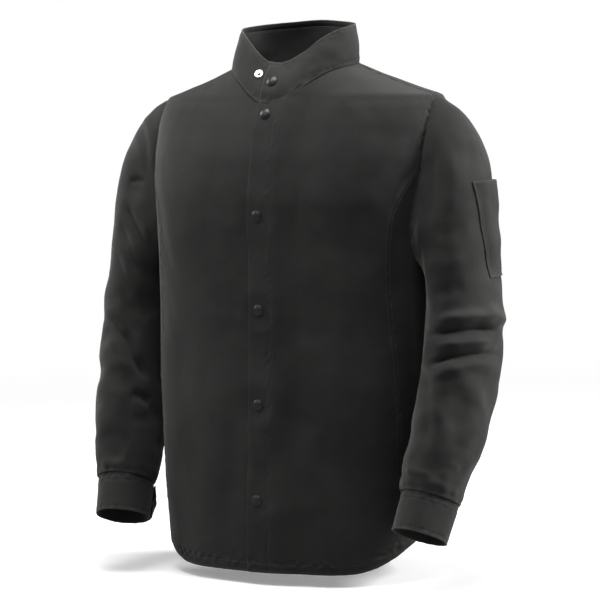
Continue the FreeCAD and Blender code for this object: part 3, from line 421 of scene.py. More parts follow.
def sleeve_cap(angle, drop, start):
    """Sleeve head: cubic curves from just off the armhole (0) to the ring at SLEEVE_TOP (1)."""
    angle, drop = np.broadcast_arrays(np.asarray(angle, float), np.asarray(drop, float))
    turned = angle % 360.0
    turn = np.radians(angle)
    under = (1 - np.cos(turn)) / 2
    leave = unit(vec(0.93 - 0.18 * under, -0.30 * np.sin(turn), -0.36 - 0.34 * under))
    top = armhole_at(np.where(turned <= 180, turned / 20.0, 9.0 + (turned - 180.0) / 18.0))
    top = top + leave * start
    bottom = sleeve_ring(angle, SLEEVE_TOP)
    arrive = unit(sleeve_ring(angle, SLEEVE_TOP - 4) - sleeve_ring(angle, SLEEVE_TOP + 4))
    chord = np.linalg.norm(bottom - top, axis=-1, keepdims=True)
    outside = np.maximum(0.0, np.cos(turn))
    lean = vec(0, -7.0 * outside, 0)
    upper = top + leave * (0.30 + 0.05 * outside)[..., None] * chord + lean
    lower = bottom - arrive * 0.42 * chord + lean
    drop = drop[..., None]
    return (top * (1 - drop)**3 + upper * (3 * drop * (1 - drop)**2)
            + lower * (3 * drop * drop * (1 - drop)) + bottom * drop**3)


CUFF_CENTRE, CUFF_DOWN, CUFF_OUTER, CUFF_FRONT = sleeve_frame(CUFF_Z - 2)
CUFF_CENTRE = CUFF_CENTRE + CUFF_DOWN * 1.6


def cuff_at(angle, down):
    angle, down = np.broadcast_arrays(np.asarray(angle, float), np.asarray(down, float))
    turn, taper = np.radians(angle), 1.0 - 0.035 * down / CUFF_H
    return (CUFF_CENTRE + CUFF_DOWN * down[..., None]
            + CUFF_OUTER * (CUFF_RX * taper * np.cos(turn))[..., None]
            + CUFF_FRONT * (CUFF_RY * taper * np.sin(turn))[..., None])


def cuff_normal(angle, down):
    normals = unit(np.cross(cuff_at(angle + 1, down) - cuff_at(angle - 1, down), CUFF_DOWN))
    angle, down = np.broadcast_arrays(np.asarray(angle, float), np.asarray(down, float))
    out = cuff_at(angle, down) - (CUFF_CENTRE + CUFF_DOWN * down[..., None])
    return np.where(((normals * out).sum(-1) < 0)[..., None], -normals, normals)


# ---------------------------------------------------------------------------
# Grids to cloth
# ---------------------------------------------------------------------------
def lengths_along(points, axis):
    """Length from the first edge of a grid along one axis."""
    steps = np.linalg.norm(np.diff(points, axis=axis), axis=-1)
    zero = np.zeros_like(np.take(steps, [0], axis=axis))
    return np.concatenate([zero, np.cumsum(steps, axis=axis)], axis=axis)


def edge_distances(points):
    """Distances from the first and last edge across, then from the first and last along."""
    across, along = lengths_along(points, 0), lengths_along(points, 1)
    return across, across[-1] - across, along, along[:, -1:] - along


def grid_normals(points, outward, closed=False):
    if closed:
        across = np.roll(points, -1, 0) - np.roll(points, 1, 0)
    else:
        across = np.gradient(points, axis=0)
    normals = unit(np.cross(across, np.gradient(points, axis=1)))
    sign = np.sign((normals * outward).sum(-1, keepdims=True))
    sign[sign == 0] = 1
    return normals * sign


def stations(length, fine, coarse, start=True, end=True, band=13.0, knots=(), extra=()):
    """0..1, fine within 'band' of the chosen ends and round 'extra' (mm), through each knot."""
    places = [0.0]
    x = 0.0
    while x < length:
        near = ((start and x < band) or (end and length - x < band)
                or any(abs(x - place) < 4.5 for place in extra))
        x += fine if near else coarse
        places.append(x)
    places = np.array(places) / places[-1]
    for knot in knots:
        places[np.argmin(np.abs(places - knot))] = knot
    return places


def quad_grid(rows, columns, closed=False):
    i, j = np.meshgrid(np.arange(rows if closed else rows - 1), np.arange(columns - 1),
                       indexing="ij")
    i, j = i.ravel(), j.ravel()
    after = (i + 1) % rows
    return np.stack([i * columns + j, after * columns + j, after * columns + j + 1,
                     i * columns + j + 1], -1)


class Piece:
    """Vertices, faces, normals, cloth coordinates and wear of one piece, in millimetres."""

    def __init__(self):
        self.points, self.normals, self.cloth, self.wear = [], [], [], []
        self.quads, self.tris, self.quad_materials, self.tri_materials = [], [], [], []
        self.count = 0

    def add(self, points, normals, cloth, wear, quads=None, tris=None, material=0):
        points = points.reshape(-1, 3)
        self.points.append(points)
        self.normals.append(normals.reshape(-1, 3))
        self.cloth.append(cloth.reshape(-1, 2))
        self.wear.append(np.broadcast_to(np.asarray(wear, float).reshape(-1), (len(points),)))
        if quads is not None:
            self.quads.append(quads + self.count)
            self.quad_materials.append(np.full(len(quads), material))
        if tris is not None:
            self.tris.append(tris + self.count)
            self.tri_materials.append(np.full(len(tris), material))
        self.count += len(points)

    def bridge(self, ring, other, material=0):
        """Quads between two closed rings of vertex numbers."""
        self.quads.append(np.stack([ring, np.roll(ring, -1), np.roll(other, -1), other], -1))
        self.quad_materials.append(np.full(len(ring), material))

    def build(self, name, materials, slot, *nodes):
        """Makes the object and hides the nodes of the frame that it replaces."""
        points = (np.concatenate(self.points) + SHIFT) / 1000.0
        normals = np.concatenate(self.normals)

        def outward(faces):
            corner = [points[faces[:, i]] for i in range(faces.shape[1])]
            if len(corner) == 4:
                facing = np.cross(corner[2] - corner[0], corner[3] - corner[1])
            else:
                facing = np.cross(corner[1] - corner[0], corner[2] - corner[0])
            wrong = (facing * normals[faces].sum(1)).sum(-1) < 0
            turned = faces.copy()
            turned[wrong] = faces[wrong][:, ::-1]
            return turned
        quads, tris = outward(np.concatenate(self.quads)), outward(np.concatenate(self.tris))
        corners = np.concatenate([quads.ravel(), tris.ravel()]).astype(np.int32)
        starts = np.concatenate([np.arange(len(quads)) * 4,
                                 len(quads) * 4 + np.arange(len(tris)) * 3])
        mesh = bpy.data.meshes.new(name)
        mesh.vertices.add(len(points))
        mesh.vertices.foreach_set("co", points.astype(np.float32).ravel())
        mesh.loops.add(len(corners))
        mesh.loops.foreach_set("vertex_index", corners)
        mesh.polygons.add(len(quads) + len(tris))
        mesh.polygons.foreach_set("loop_start", starts.astype(np.int32))
        mesh.update(calc_edges=True)
        indices = np.concatenate(self.quad_materials + self.tri_materials)
        mesh.polygons.foreach_set("material_index", indices.astype(np.int32))
        mesh.polygons.foreach_set("use_smooth", np.ones(len(mesh.polygons), bool))
        layer = mesh.uv_layers.new(name="cloth")
        cloth = np.concatenate(self.cloth)[corners] / 1000.0
        layer.data.foreach_set("uv", cloth.astype(np.float32).ravel())
        wear = mesh.attributes.new("wear", "FLOAT", "POINT")
        wear.data.foreach_set("value", np.concatenate(self.wear).astype(np.float32))
        mesh.validate()
        mesh.normals_split_custom_set_from_vertices(unit(normals).tolist())
        for material in materials:
            mesh.materials.append(material)
        made = bpy.data.objects.new(name, mesh)
        bpy.context.scene.collection.objects.link(made)
        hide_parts(*nodes)
        return made


def sheet(piece, middle, outward, outer_t, inner_t, closed=False, bulge=0.5, wear=None,
          inner_material=0):
    """Cloth of real thickness round a middle surface, its edges rounded.

    Returns the outer points and their normals.
    """
    rows, columns = shape = middle.shape[:2]
    outer_t, inner_t = np.broadcast_to(outer_t, shape), np.broadcast_to(inner_t, shape)
    normals = grid_normals(middle, outward, closed)
    outer, inner = middle + normals * outer_t[..., None], middle - normals * inner_t[..., None]
    outer_n = grid_normals(outer, outward, closed)
    cloth = np.stack([lengths_along(middle, 0), lengths_along(middle, 1)], -1)
    wear = np.zeros(shape) if wear is None else wear
    base = piece.count
    faces = quad_grid(rows, columns, closed)
    piece.add(outer, outer_n, cloth, wear, faces)
    piece.add(inner, -grid_normals(inner, outward, closed), cloth + [7.0, 3.0], wear * 0.5,
              faces, material=inner_material)

    # each rim with the vertices one step inside it
    ids = np.arange(rows * columns).reshape(shape)
    if closed:
        rims = [(ids[:, 0], ids[:, 1]), (ids[:, -1], ids[:, -2])]
    else:
        rim = np.concatenate([ids[:-1, 0], ids[-1, :-1], ids[::-1, -1][:-1], ids[0, ::-1][:-1]])
        within = np.concatenate([ids[:-1, 1], ids[-2, :-1], ids[::-1, -2][:-1],
                                 ids[1, ::-1][:-1]])
        corners = [0, rows - 1, rows + columns - 2, 2 * rows + columns - 3]
        within[corners] = ids[1, 1], ids[-2, 1], ids[-2, -2], ids[1, -2]
        rims = [(rim, within)]
    flat_outer, flat_inner = outer.reshape(-1, 3), inner.reshape(-1, 3)
    for rim, within in rims:
        top, bottom = flat_outer[rim], flat_inner[rim]
        out = unit(top + bottom - flat_outer[within] - flat_inner[within])
        thick = np.linalg.norm(top - bottom, axis=-1)[:, None]
        through = unit(top - bottom)
        centre = (top + bottom) / 2
        previous = rim + base
        for tilt, reach in ((0.36, bulge * 0.72), (0.0, bulge), (-0.36, bulge * 0.72)):
            current = piece.count + np.arange(len(rim))
            piece.add(centre + through * thick * tilt + out * thick * reach,
                      unit(out + through * np.sign(tilt)),
                      cloth.reshape(-1, 2)[rim], wear.reshape(-1)[rim] + 0.25)
            piece.bridge(previous, current)
            previous = current
        piece.bridge(previous, rim + base + rows * columns)
    return outer, outer_n


# rings of one stitch: place along it, share of the thread radius, height
STITCH_RINGS = ((-0.5, 0, -0.30), (-0.30, 0.85, 0.02), (0, 1.0, 0.14), (0.30, 0.85, 0.02),
                (0.5, 0, -0.30))
STITCH_POINTS = 17                          # tip, three rings of five, tip


def stitch(piece, path, normals, pitch=3.1, length=2.3, radius=0.34, closed=False):
    """Thread showing on the surface along a path."""
    if closed:
        path = np.concatenate([path, path[:1]])
        normals = np.concatenate([normals, normals[:1]])
    run = np.r_[0, np.cumsum(np.linalg.norm(np.diff(path, axis=0), axis=-1))]
    if run[-1] < pitch:
        return
    count = int(run[-1] / pitch)
    places = (np.arange(count) + 0.5) * run[-1] / count
    centres = interp_vectors(places, run, path)
    along = unit(interp_vectors(places + 0.8, run, path)
                 - interp_vectors(places - 0.8, run, path))
    up = unit(interp_vectors(places, run, normals))
    across = unit(np.cross(along, up))
    up = np.cross(across, along)
    points, point_normals = [], []
    turn = (np.arange(5) * 2 * np.pi / 5)[None, :, None]
    for shift, share, height in STITCH_RINGS:
        centre = centres + along * (shift * length) + up * height
        if share == 0:
            points.append(centre[:, None])
            point_normals.append((along * np.sign(shift))[:, None])
        else:
            spoke = across[:, None] * np.cos(turn) + up[:, None] * np.sin(turn)
            points.append(centre[:, None] + spoke * share * radius)
            point_normals.append(spoke)
    i = np.arange(5)
    j = (i + 1) % 5
    quads = np.concatenate([np.stack([1 + ring + i, 1 + ring + j, 6 + ring + j, 6 + ring + i], -1)
                            for ring in (0, 5)])
    tris = np.concatenate([np.stack([np.zeros(5, int), 1 + j, 1 + i], -1),
                           np.stack([np.full(5, STITCH_POINTS - 1), 11 + i, 11 + j], -1)])
    base = np.arange(count)[:, None, None] * STITCH_POINTS
    piece.add(np.concatenate(points, 1), np.concatenate(point_normals, 1),
              np.zeros((count * STITCH_POINTS, 2)), 0.0, (quads[None] + base).reshape(-1, 4),
              (tris[None] + base).reshape(-1, 3), material=1)


def stitch_rows(piece, surface, axis, distances, ends=(False,), keep=slice(None), lengths=None,
                **thread):
    """Stitch rows at distances in from the first edge of an axis, or the last if end is True."""
    points, normals = surface
    if lengths is None:
        lengths = lengths_along(points, axis)
    if axis == 0:
        points, normals, lengths = points.swapaxes(0, 1), normals.swapaxes(0, 1), lengths.T
    for distance in distances:
        for from_end in ends:
            places = [run[-1] - distance if from_end else distance for run in lengths]
            path, up = (np.array([interp_vectors(*line) for line in zip(places, lengths, grid)])
                        for grid in (points, normals))
            stitch(piece, path[keep], up[keep], **thread)


# ---------------------------------------------------------------------------
# View, shared by the camera and the folds drawn for it
# ---------------------------------------------------------------------------
VIEW_TURN, VIEW_TILT, VIEW_ROLL = math.radians(28.0), math.radians(4.5), math.radians(0.8)
FORWARD = np.array([-math.sin(VIEW_TURN) * math.cos(VIEW_TILT),
                    math.cos(VIEW_TURN) * math.cos(VIEW_TILT), -math.sin(VIEW_TILT)])
LEVEL = np.array([math.cos(VIEW_TURN), math.sin(VIEW_TURN), 0.0])
UPRIGHT = np.cross(LEVEL, FORWARD)
VIEW_RIGHT = LEVEL * math.cos(VIEW_ROLL) - UPRIGHT * math.sin(VIEW_ROLL)
VIEW_UP = UPRIGHT * math.cos(VIEW_ROLL) + LEVEL * math.sin(VIEW_ROLL)
AIM, VIEW_DISTANCE = np.array([0.0, -10.0, 390.0]), 4000.0
VIEW_WIDTH = 876.0                          # of the view plane, square to the view through AIM
VIEW_RISE = 7.3                             # centre of the view above AIM

# ---------------------------------------------------------------------------
# Folds seen in the view. Each: half width, height (a valley if negative), side of the
# partner valley (0 for none), then points (right, up) of AIM on the view plane, all in mm.
# ---------------------------------------------------------------------------
TORSO_FOLDS = [
    (6, -1.6, 1, [(163.52, 200.02), (148.92, 182.5), (137.24, 159.14), (132.86, 121.18)]),
    (16, -1.8, 0, [(153.3, 131.4), (143.08, 65.7), (148.92, -7.3)]),
    (20, 1.6, 0, [(140.16, -36.5), (125.56, -109.5), (116.8, -182.5)]),
    (22, -1.4, 0, [(87.6, -36.5), (78.84, -138.7), (73.0, -240.9), (67.16, -343.1)]),
    (20, 1.2, 0, [(26.28, -109.5), (17.52, -211.7), (8.76, -343.1)]),
    (24, 1.4, 0, [(-125.56, -51.1), (-134.32, -167.9), (-128.48, -328.5)]),
    (16, -1.5, 0, [(-166.44, 7.3), (-172.28, -109.5), (-160.6, -255.5)]),
    (7, -1.5, -1, [(-207.32, 167.9), (-201.48, 109.5), (-186.88, 36.5)]),
    (6, -1.2, 0, [(-216.08, 226.3), (-208.78, 175.2), (-211.7, 102.2)]),
    (18, 1.0, 0, [(0.0, 167.9), (58.4, 147.46), (134.32, 159.14)]),
    (9, -0.9, 0, [(-23.36, 226.3), (-27.74, 182.5), (-20.44, 138.7)]),
    (16, -1.1, 0, [(0.0, 100.74), (73.0, 80.3), (134.32, 62.78)]),
    (14, 0.9, 0, [(-160.6, 135.78), (-108.04, 115.34), (-73.0, 121.18)]),
    (14, -1.1, 0, [(-46.72, -18.98), (0.0, -42.34), (58.4, -45.26)]),
    (12, 0.9, 0, [(-138.7, -1.46), (-93.44, -24.82), (-64.24, -18.98)]),
    (14, -1.1, 0, [(-49.64, -150.38), (0.0, -173.74), (43.8, -167.9)]),
    (16, 1.0, 0, [(-55.48, -292.0), (-5.84, -302.22), (49.64, -284.7)]),
    (7, -0.9, 0, [(175.2, 270.1), (160.6, 240.9), (150.38, 211.7)]),
    (16, -1.2, 0, [(87.6, 258.42), (134.32, 243.82), (175.2, 252.58)]),
    (12, 0.8, 0, [(43.8, 313.9), (75.92, 287.62), (105.12, 255.5)]),
]
COLLAR_FOLDS = [
    (8, -1.7, 1, [(2.92, 319.74), (11.68, 340.18), (24.82, 360.62)]),
    (9, 1.0, 0, [(40.88, 322.66), (52.56, 346.02), (65.7, 369.38)]),
    (6, -0.6, 0, [(-84.68, 337.26), (-81.76, 354.78), (-75.92, 369.38)]),
    (7, 0.6, 0, [(-20.44, 325.58), (-11.68, 337.26), (-5.84, 351.86)]),
]
LEFT_SLEEVE_FOLDS = [
    (8, 4.6, 0, [(296.38, -18.98), (259.88, -16.06), (219.0, -18.98), (192.72, -24.82)]),
    (5.5, -6.5, 0, [(299.3, -37.96), (259.88, -35.04), (219.0, -37.96), (183.96, -43.8)]),
    (7, 4.2, 0, [(296.38, -56.94), (256.96, -54.02), (219.0, -56.94), (189.8, -62.78)]),
    (5.0, -6.2, 0, [(293.46, -71.54), (254.04, -71.54), (213.16, -77.38), (181.04, -89.06)]),
    (8, 3.4, 0, [(287.62, -89.06), (248.2, -89.06), (213.16, -96.36), (186.88, -109.5)]),
    (10, 3.6, 0, [(268.64, -4.38), (286.16, -14.6), (299.3, -30.66)]),
    (9, -2.4, 0, [(176.66, -83.22), (182.5, -116.8), (185.42, -167.9), (181.04, -219.0)]),
    (16, -1.8, 0, [(227.76, -118.26), (227.76, -167.9), (216.08, -235.06)]),
    (13, 1.8, 0, [(256.96, -115.34), (251.12, -167.9), (236.52, -226.3)]),
    (12, -1.4, 0, [(186.88, 112.42), (216.08, 105.12), (248.2, 109.5)]),
    (11, -1.8, 0, [(183.96, 13.14), (213.16, 18.98), (245.28, 27.74)]),
    (12, 1.2, 0, [(181.04, 62.78), (213.16, 59.86), (248.2, 68.62)]),
    (9, -2.0, 0, [(189.8, 261.34), (194.18, 226.3), (191.26, 167.9), (185.42, 94.9)]),
    (13, 1.6, 0, [(213.16, 240.9), (221.92, 182.5), (219.0, 124.1)]),
    (10, -1.2, 0, [(236.52, 270.1), (248.2, 226.3), (248.2, 167.9)]),
    (7, 1.6, 0, [(175.2, 146.0), (176.66, 65.7), (178.12, -21.9)]),
    (7, 1.4, 0, [(204.4, -255.5), (221.92, -235.06), (236.52, -240.9)]),
    (6, 1.8, 0, [(140.16, -235.06), (163.52, -240.9), (192.72, -249.66)]),
]
RIGHT_SLEEVE_FOLDS = [
    (6.5, -3.0, 1, [(-236.52, 281.78), (-227.76, 240.9), (-217.54, 185.42)]),
    (7, -1.8, 0, [(-251.12, 270.1), (-242.36, 226.3), (-230.68, 176.66)]),
    (6.5, -3.4, 1, [(-256.96, 156.22), (-239.44, 112.42), (-217.54, 62.78)]),
    (7, -2.4, 1, [(-268.64, 132.86), (-251.12, 89.06), (-233.6, 36.5)]),
    (7, -2.2, 1, [(-277.4, 94.9), (-261.34, 51.1), (-242.36, 1.46)]),
    (6, 1.4, 0, [(-236.52, 167.9), (-223.38, 121.18), (-216.08, 94.9)]),
    (3.5, -1.6, 0, [(-251.12, 179.58), (-236.52, 182.5), (-223.38, 179.58)]),
    (6, -3.2, 0, [(-287.62, -13.14), (-268.64, -30.66), (-251.12, -56.94)]),
    (7, -4.0, 1, [(-256.96, -33.58), (-242.36, -77.38), (-216.08, -115.34)]),
    (8, 2.4, 0, [(-280.32, -36.5), (-262.8, -77.38), (-242.36, -106.58)]),
    (7, -3.6, 0, [(-248.2, -127.02), (-230.68, -132.86), (-214.62, -141.62)]),
    (9, 2.2, 0, [(-251.12, -150.38), (-233.6, -150.38), (-217.54, -156.22)]),
    (12, -1.6, 0, [(-274.48, -167.9), (-265.72, -204.4), (-265.72, -240.9)]),
    (10, 1.4, 0, [(-233.6, -167.9), (-230.68, -204.4), (-236.52, -240.9)]),
    (8, 1.6, 0, [(-292.0, 36.5), (-280.32, 7.3), (-274.48, -18.98)]),
]
# Folds on the faces of the sleeves turned away from the view:
# angle round the sleeve, z, width across in degrees, half height, height of the fold
HIDDEN_FOLDS = [
    (255, 322, 60, 6.5, -4.5), (262, 338, 55, 8, 3.0), (250, 300, 60, 8, 3.0),
    (215, 352, 45, 6, -3.0), (170, 330, 60, 6, -4.5), (165, 345, 50, 8, 2.6),
    (175, 314, 50, 8, 2.4), (285, 372, 45, 10, -1.6), (240, 398, 50, 9, -1.8),
    (200, 430, 40, 7, -1.8), (230, 455, 40, 9, 1.6), (300, 262, 50, 12, -1.4),
    (250, 215, 55, 12, 1.4), (205, 240, 45, 9, -1.5), (275, 530, 40, 12, -1.2),
    (250, 500, 45, 10, 1.2),
]


def fold(right, up, width, height, partner, line):
    """One fold along a line on the view plane, fading at both ends."""
    line = np.array(line, float)
    segments = np.linalg.norm(np.diff(line, axis=0), axis=1)
    run = np.r_[0, np.cumsum(segments)]
    nearest = np.full(right.shape, 1e9)
    place = np.zeros(right.shape)
    sign = np.zeros(right.shape)
    for i, length in enumerate(segments):
        start, (step_x, step_y) = line[i], line[i + 1] - line[i]
        from_x, from_y = right - start[0], up - start[1]
        t = np.clip((from_x * step_x + from_y * step_y) / (length * length), 0, 1)
        x, y = from_x - step_x * t, from_y - step_y * t
        distance = np.hypot(x, y)
        closer = distance < nearest
        nearest = np.where(closer, distance, nearest)
        place = np.where(closer, (run[i] + t * length) / run[-1], place)
        sign = np.where(closer, np.sign(y * step_x - x * step_y), sign)
    fade = smooth(np.minimum(place, 1 - place) / 0.28 + 0.02)
    profile = bell(nearest, width)
    if partner:
        profile = profile - 0.55 * bell(nearest * sign * partner - 1.9 * width, 1.25 * width)
    return height * profile * fade


def drawn_folds(points, folds):
    """Height of a table of folds at each point, as it lies on the view plane."""
    offset = points - AIM
    scale = VIEW_DISTANCE / (VIEW_DISTANCE + offset @ FORWARD)
    right, up = (offset @ VIEW_RIGHT) * scale, (offset @ VIEW_UP) * scale
    return sum(fold(right, up, *entry) for entry in folds)


def waves(points, shortest, longest, count, seed, stretch=(1, 1, 1)):
    """Smooth random undulation with wavelengths between two limits."""
    random = np.random.default_rng(seed)
    total = np.zeros(points.shape[:-1])
    for _ in range(count):
        direction = random.normal(size=3)
        direction /= np.linalg.norm(direction)
        direction = direction / np.array(stretch)
        rate = 2 * np.pi / random.uniform(shortest, longest)
        total += np.sin(points @ (direction * rate) + random.uniform(0, 2 * np.pi))
    return total / math.sqrt(count / 2.0)


# ---------------------------------------------------------------------------
# Lie of the torso cloth
# ---------------------------------------------------------------------------
SNAP_POINTS = [torso_at(-90.0, z) for z in SNAP_Z]


def collar_point(x, rise):
    return collar_at(float(collar_angle_of_x(x, np.array([rise]))[0]), rise)


COLLAR_SNAP = collar_point(0.5, 0.52)
SPARE_STUD = collar_point(-27.0, 0.62)


def snap_calm(points):
    """0 round the front snaps, where the cloth is held flat."""
    calm = np.ones(points.shape[:-1])
    for snap in SNAP_POINTS:
        away = np.linalg.norm((points - snap) * [1, 0.6, 1], axis=-1)
        calm = calm * smooth((away - 11.0) / 23.0)
    return calm


def neck_calm(points):
    """0 at the neckline, where the cloth is sewn to the collar."""
    radius = np.hypot(points[..., 0] / NECK_HALF_W, (points[..., 1] - NECK_MID_Y) / NECK_HALF_D)
    return np.where(points[..., 2] > 640, smooth((radius - 1.0) / 0.30), 1.0)


def armhole_calm(points):
    """0 at the armhole, where the cloth is sewn to the sleeve."""
    armhole = armhole_at(np.linspace(0, ARM_COUNT, 240, endpoint=False))
    flat = points.reshape(-1, 3).copy()
    flat[:, 0] = np.abs(flat[:, 0])
    near = (flat[:, 0] > 120) & (flat[:, 2] > 410)
    square = np.full(near.sum(), 1e9)
    for point in armhole:
        square = np.minimum(square, ((flat[near] - point)**2).sum(-1))
    distance = np.full(len(flat), 1e9)
    distance[near] = np.sqrt(square)
    return smooth((distance.reshape(points.shape[:-1]) - 1.0) / 26.0)


def torso_height(points, normals):
    """Height of the cloth over the pattern, the same for every piece on the torso."""
    height = drawn_folds(points, TORSO_FOLDS) * smooth((-(normals @ FORWARD) + 0.05) / 0.45)
    back = smooth((normals[..., 1] - 0.1) / 0.5)
    low = smooth((560.0 - points[..., 2]) / 420.0)
    height += 0.55 * waves(points, 60, 130, 22, 3, (1.0, 1.0, 1.6)) * (0.55 + 0.6 * low)
    height += 0.08 * waves(points, 22, 40, 26, 4, (1, 1, 1.3))
    # the back and the sides hang in long soft flutes
    flutes = waves(points * [1, 1, 0.16], 70, 130, 10, 9)
    height += (0.3 + 1.5 * low) * flutes * (0.30 + 0.9 * back)
    height += 0.85 * read_torso_drape(points)
    # the sleeves hang close against the sides and hold them in
    tight = (smooth((np.abs(points[..., 0]) - 186.0) / 16.0)
             * smooth((points[..., 2] - 50.0) / 50.0) * smooth((470.0 - points[..., 2]) / 40.0))
    return np.where(height > 0, height * (1 - 0.85 * tight), height)


def left_lap(points):
    """Height of the left front over the right: held up by the snaps, lower between them."""
    z = points[..., 2]
    held = np.zeros(z.shape)
    for snap in SNAP_Z:
        away = np.maximum(np.abs(z - snap) - 9.0, 0)
        held = np.maximum(held, np.exp(-away**2 / (2 * 20.0**2)))
    held = np.maximum(held, smooth((z - 676.0) / 26.0))
    return (LAP_SLACK + (LAP - LAP_SLACK) * held) * smooth((66.0 - points[..., 0]) / 46.0)


def torso_cloth(flat, side, raised=None):
    """Middle surface of a torso piece in its true place, with its folds, and its normals."""
    points, normals = on_side(flat, side), on_side(torso_normal(flat), side)
    height = torso_height(points, normals) * neck_calm(points)
    height = height * armhole_calm(points) * snap_calm(points)
    if raised is not None:
        height = height + raised(points)
    return points + normals * height[..., None], normals


# ---------------------------------------------------------------------------
# Seams, in the thickness of the cloth
# ---------------------------------------------------------------------------
FELLED_ROWS = (2.0, 6.9)                    # stitch rows of a felled seam
HEM_ROW = 12.0


def sunk_row(distance, at, depth=0.42):
    return -depth * bell(distance - at, 0.95)


def felled(distance, width=8.5, height=0.55):
    """Lapped seam: a raised band with two sunk stitch rows."""
    band = height * (1 - smooth((distance - width) / 1.6))
    return band + sunk_row(distance, 2.0) + sunk_row(distance, width - 1.6)


def pucker(points, distance, seed, height=0.32, reach=9.0):
    return height * waves(points, 7, 13, 20, seed) * bell(distance, reach)


def hem_relief(points, from_hem):
    return (0.25 * (1 - smooth((from_hem - 13.0) / 1.6)) + sunk_row(from_hem, HEM_ROW)
            + pucker(points, from_hem - HEM_ROW, 24, 0.34, 10))


def hem_inner(from_hem):
    """Inner thickness, with the turned-in hem."""
    return CLOTH_HALF + 1.2 * (1 - smooth((from_hem - 14.0) / 1.2))


# ---------------------------------------------------------------------------
# Draping: the pattern, a little larger than the form inside it, is run as cloth
# ---------------------------------------------------------------------------
def grid_object(name, points, faces):
    mesh = bpy.data.meshes.new(name)
    mesh.from_pydata(((points.reshape(-1, 3) + SHIFT) / 1000.0).tolist(), [], faces.tolist())
    mesh.update()
    made = bpy.data.objects.new(name, mesh)
    bpy.context.scene.collection.objects.link(made)
    return made


def drape(points, normals, pin, inside, grow, frames, limit, bend, flip=False):
    """Runs a closed grid as cloth over a form 'inside' it; how far each point rose."""
    rows, columns = points.shape[:2]
    faces = quad_grid(rows, columns, True)
    if flip:
        faces = faces[:, ::-1]
    scene = bpy.context.scene

    form = grid_object("drape_form", points - normals * inside[..., None], faces)
    form.modifiers.new("c", "COLLISION")
    form.collision.thickness_outer = 0.001
    form.collision.thickness_inner = 0.02
    form.collision.cloth_friction = 12.0

    cloth = grid_object("drape", points, faces)
    group = cloth.vertex_groups.new(name="pin")
    weights = np.round(np.clip(pin, 0, 1), 1).reshape(-1)
    for weight in np.unique(weights):
        if weight > 0:
            group.add(np.where(weights == weight)[0].tolist(), float(weight), "REPLACE")
    modifier = cloth.modifiers.new("cloth", "CLOTH")
    settings = modifier.settings
    settings.quality = 6
    settings.mass = 0.0006
    settings.tension_stiffness = settings.compression_stiffness = 18.0
    settings.shear_stiffness = 9.0
    settings.bending_stiffness = bend
    settings.tension_damping = settings.compression_damping = 8.0
    settings.shear_damping = 5.0
    settings.bending_damping = 0.6
    settings.air_damping = 3.0
    settings.vertex_group_mass = "pin"
    settings.pin_stiffness = 1.0
    settings.shrink_min = settings.shrink_max = -grow
    settings.effector_weights.gravity = 1.0
    collision = modifier.collision_settings
    collision.use_collision = True
    collision.distance_min = 0.001
    collision.collision_quality = 2
    modifier.point_cache.frame_start = 1
    modifier.point_cache.frame_end = frames
    scene.frame_start, scene.frame_end = 1, frames
    for number in range(1, frames + 1):
        scene.frame_set(number)

    settled = cloth.evaluated_get(bpy.context.evaluated_depsgraph_get())
    places = np.zeros(len(settled.data.vertices) * 3, np.float32)
    settled.data.vertices.foreach_get("co", places)
    places = places.reshape(rows, columns, 3).astype(float) * 1000.0 - SHIFT
    for temporary in (cloth, form):
        mesh = temporary.data
        bpy.data.objects.remove(temporary)
        bpy.data.meshes.remove(mesh)
    scene.frame_set(1)
    rise = np.round(np.nan_to_num(((places - points) * normals).sum(-1)), 2)
    return limit * np.tanh(rise / limit)


def refine_along(at, values, x):
    """Smooth curve through the columns of 'values' given at 'at', read at x."""
    slope = np.gradient(values, at, axis=-1)
    i = np.clip(np.searchsorted(at, x, side="right") - 1, 0, len(at) - 2)
    step = at[i + 1] - at[i]
    t = np.clip((x - at[i]) / step, 0, 1)
    return hermite(t, values[..., i], step * slope[..., i],
                   values[..., i + 1], step * slope[..., i + 1])


def refine_round(values, count):
    """Periodic smooth refinement of the first axis to 'count' samples."""
    coarse = np.fft.rfft(values, axis=0)
    size = count // 2 + 1
    fine = np.zeros((size,) + coarse.shape[1:], complex)
    fine[:min(size, coarse.shape[0])] = coarse[:min(size, coarse.shape[0])]
    return np.fft.irfft(fine, count, axis=0) * (count / values.shape[0])


def soften(values, spread):
    """Gaussian blur of a grid closed along its first axis."""
    offsets = np.arange(-int(4 * spread), int(4 * spread) + 1)
    weights = np.exp(-(offsets / spread)**2 / 2)
    weights /= weights.sum()
    pad = len(offsets) // 2
    rows, columns = values.shape
    wrapped = np.concatenate([values[-pad:], values, values[:pad]], 0)
    blurred = sum(weight * wrapped[i:i + rows] for i, weight in enumerate(weights))
    padded = np.pad(blurred, ((0, 0), (pad, pad)), mode="edge")
    return sum(weight * padded[:, i:i + columns] for i, weight in enumerate(weights))


TORSO_DRAPE_TOP = 640.0


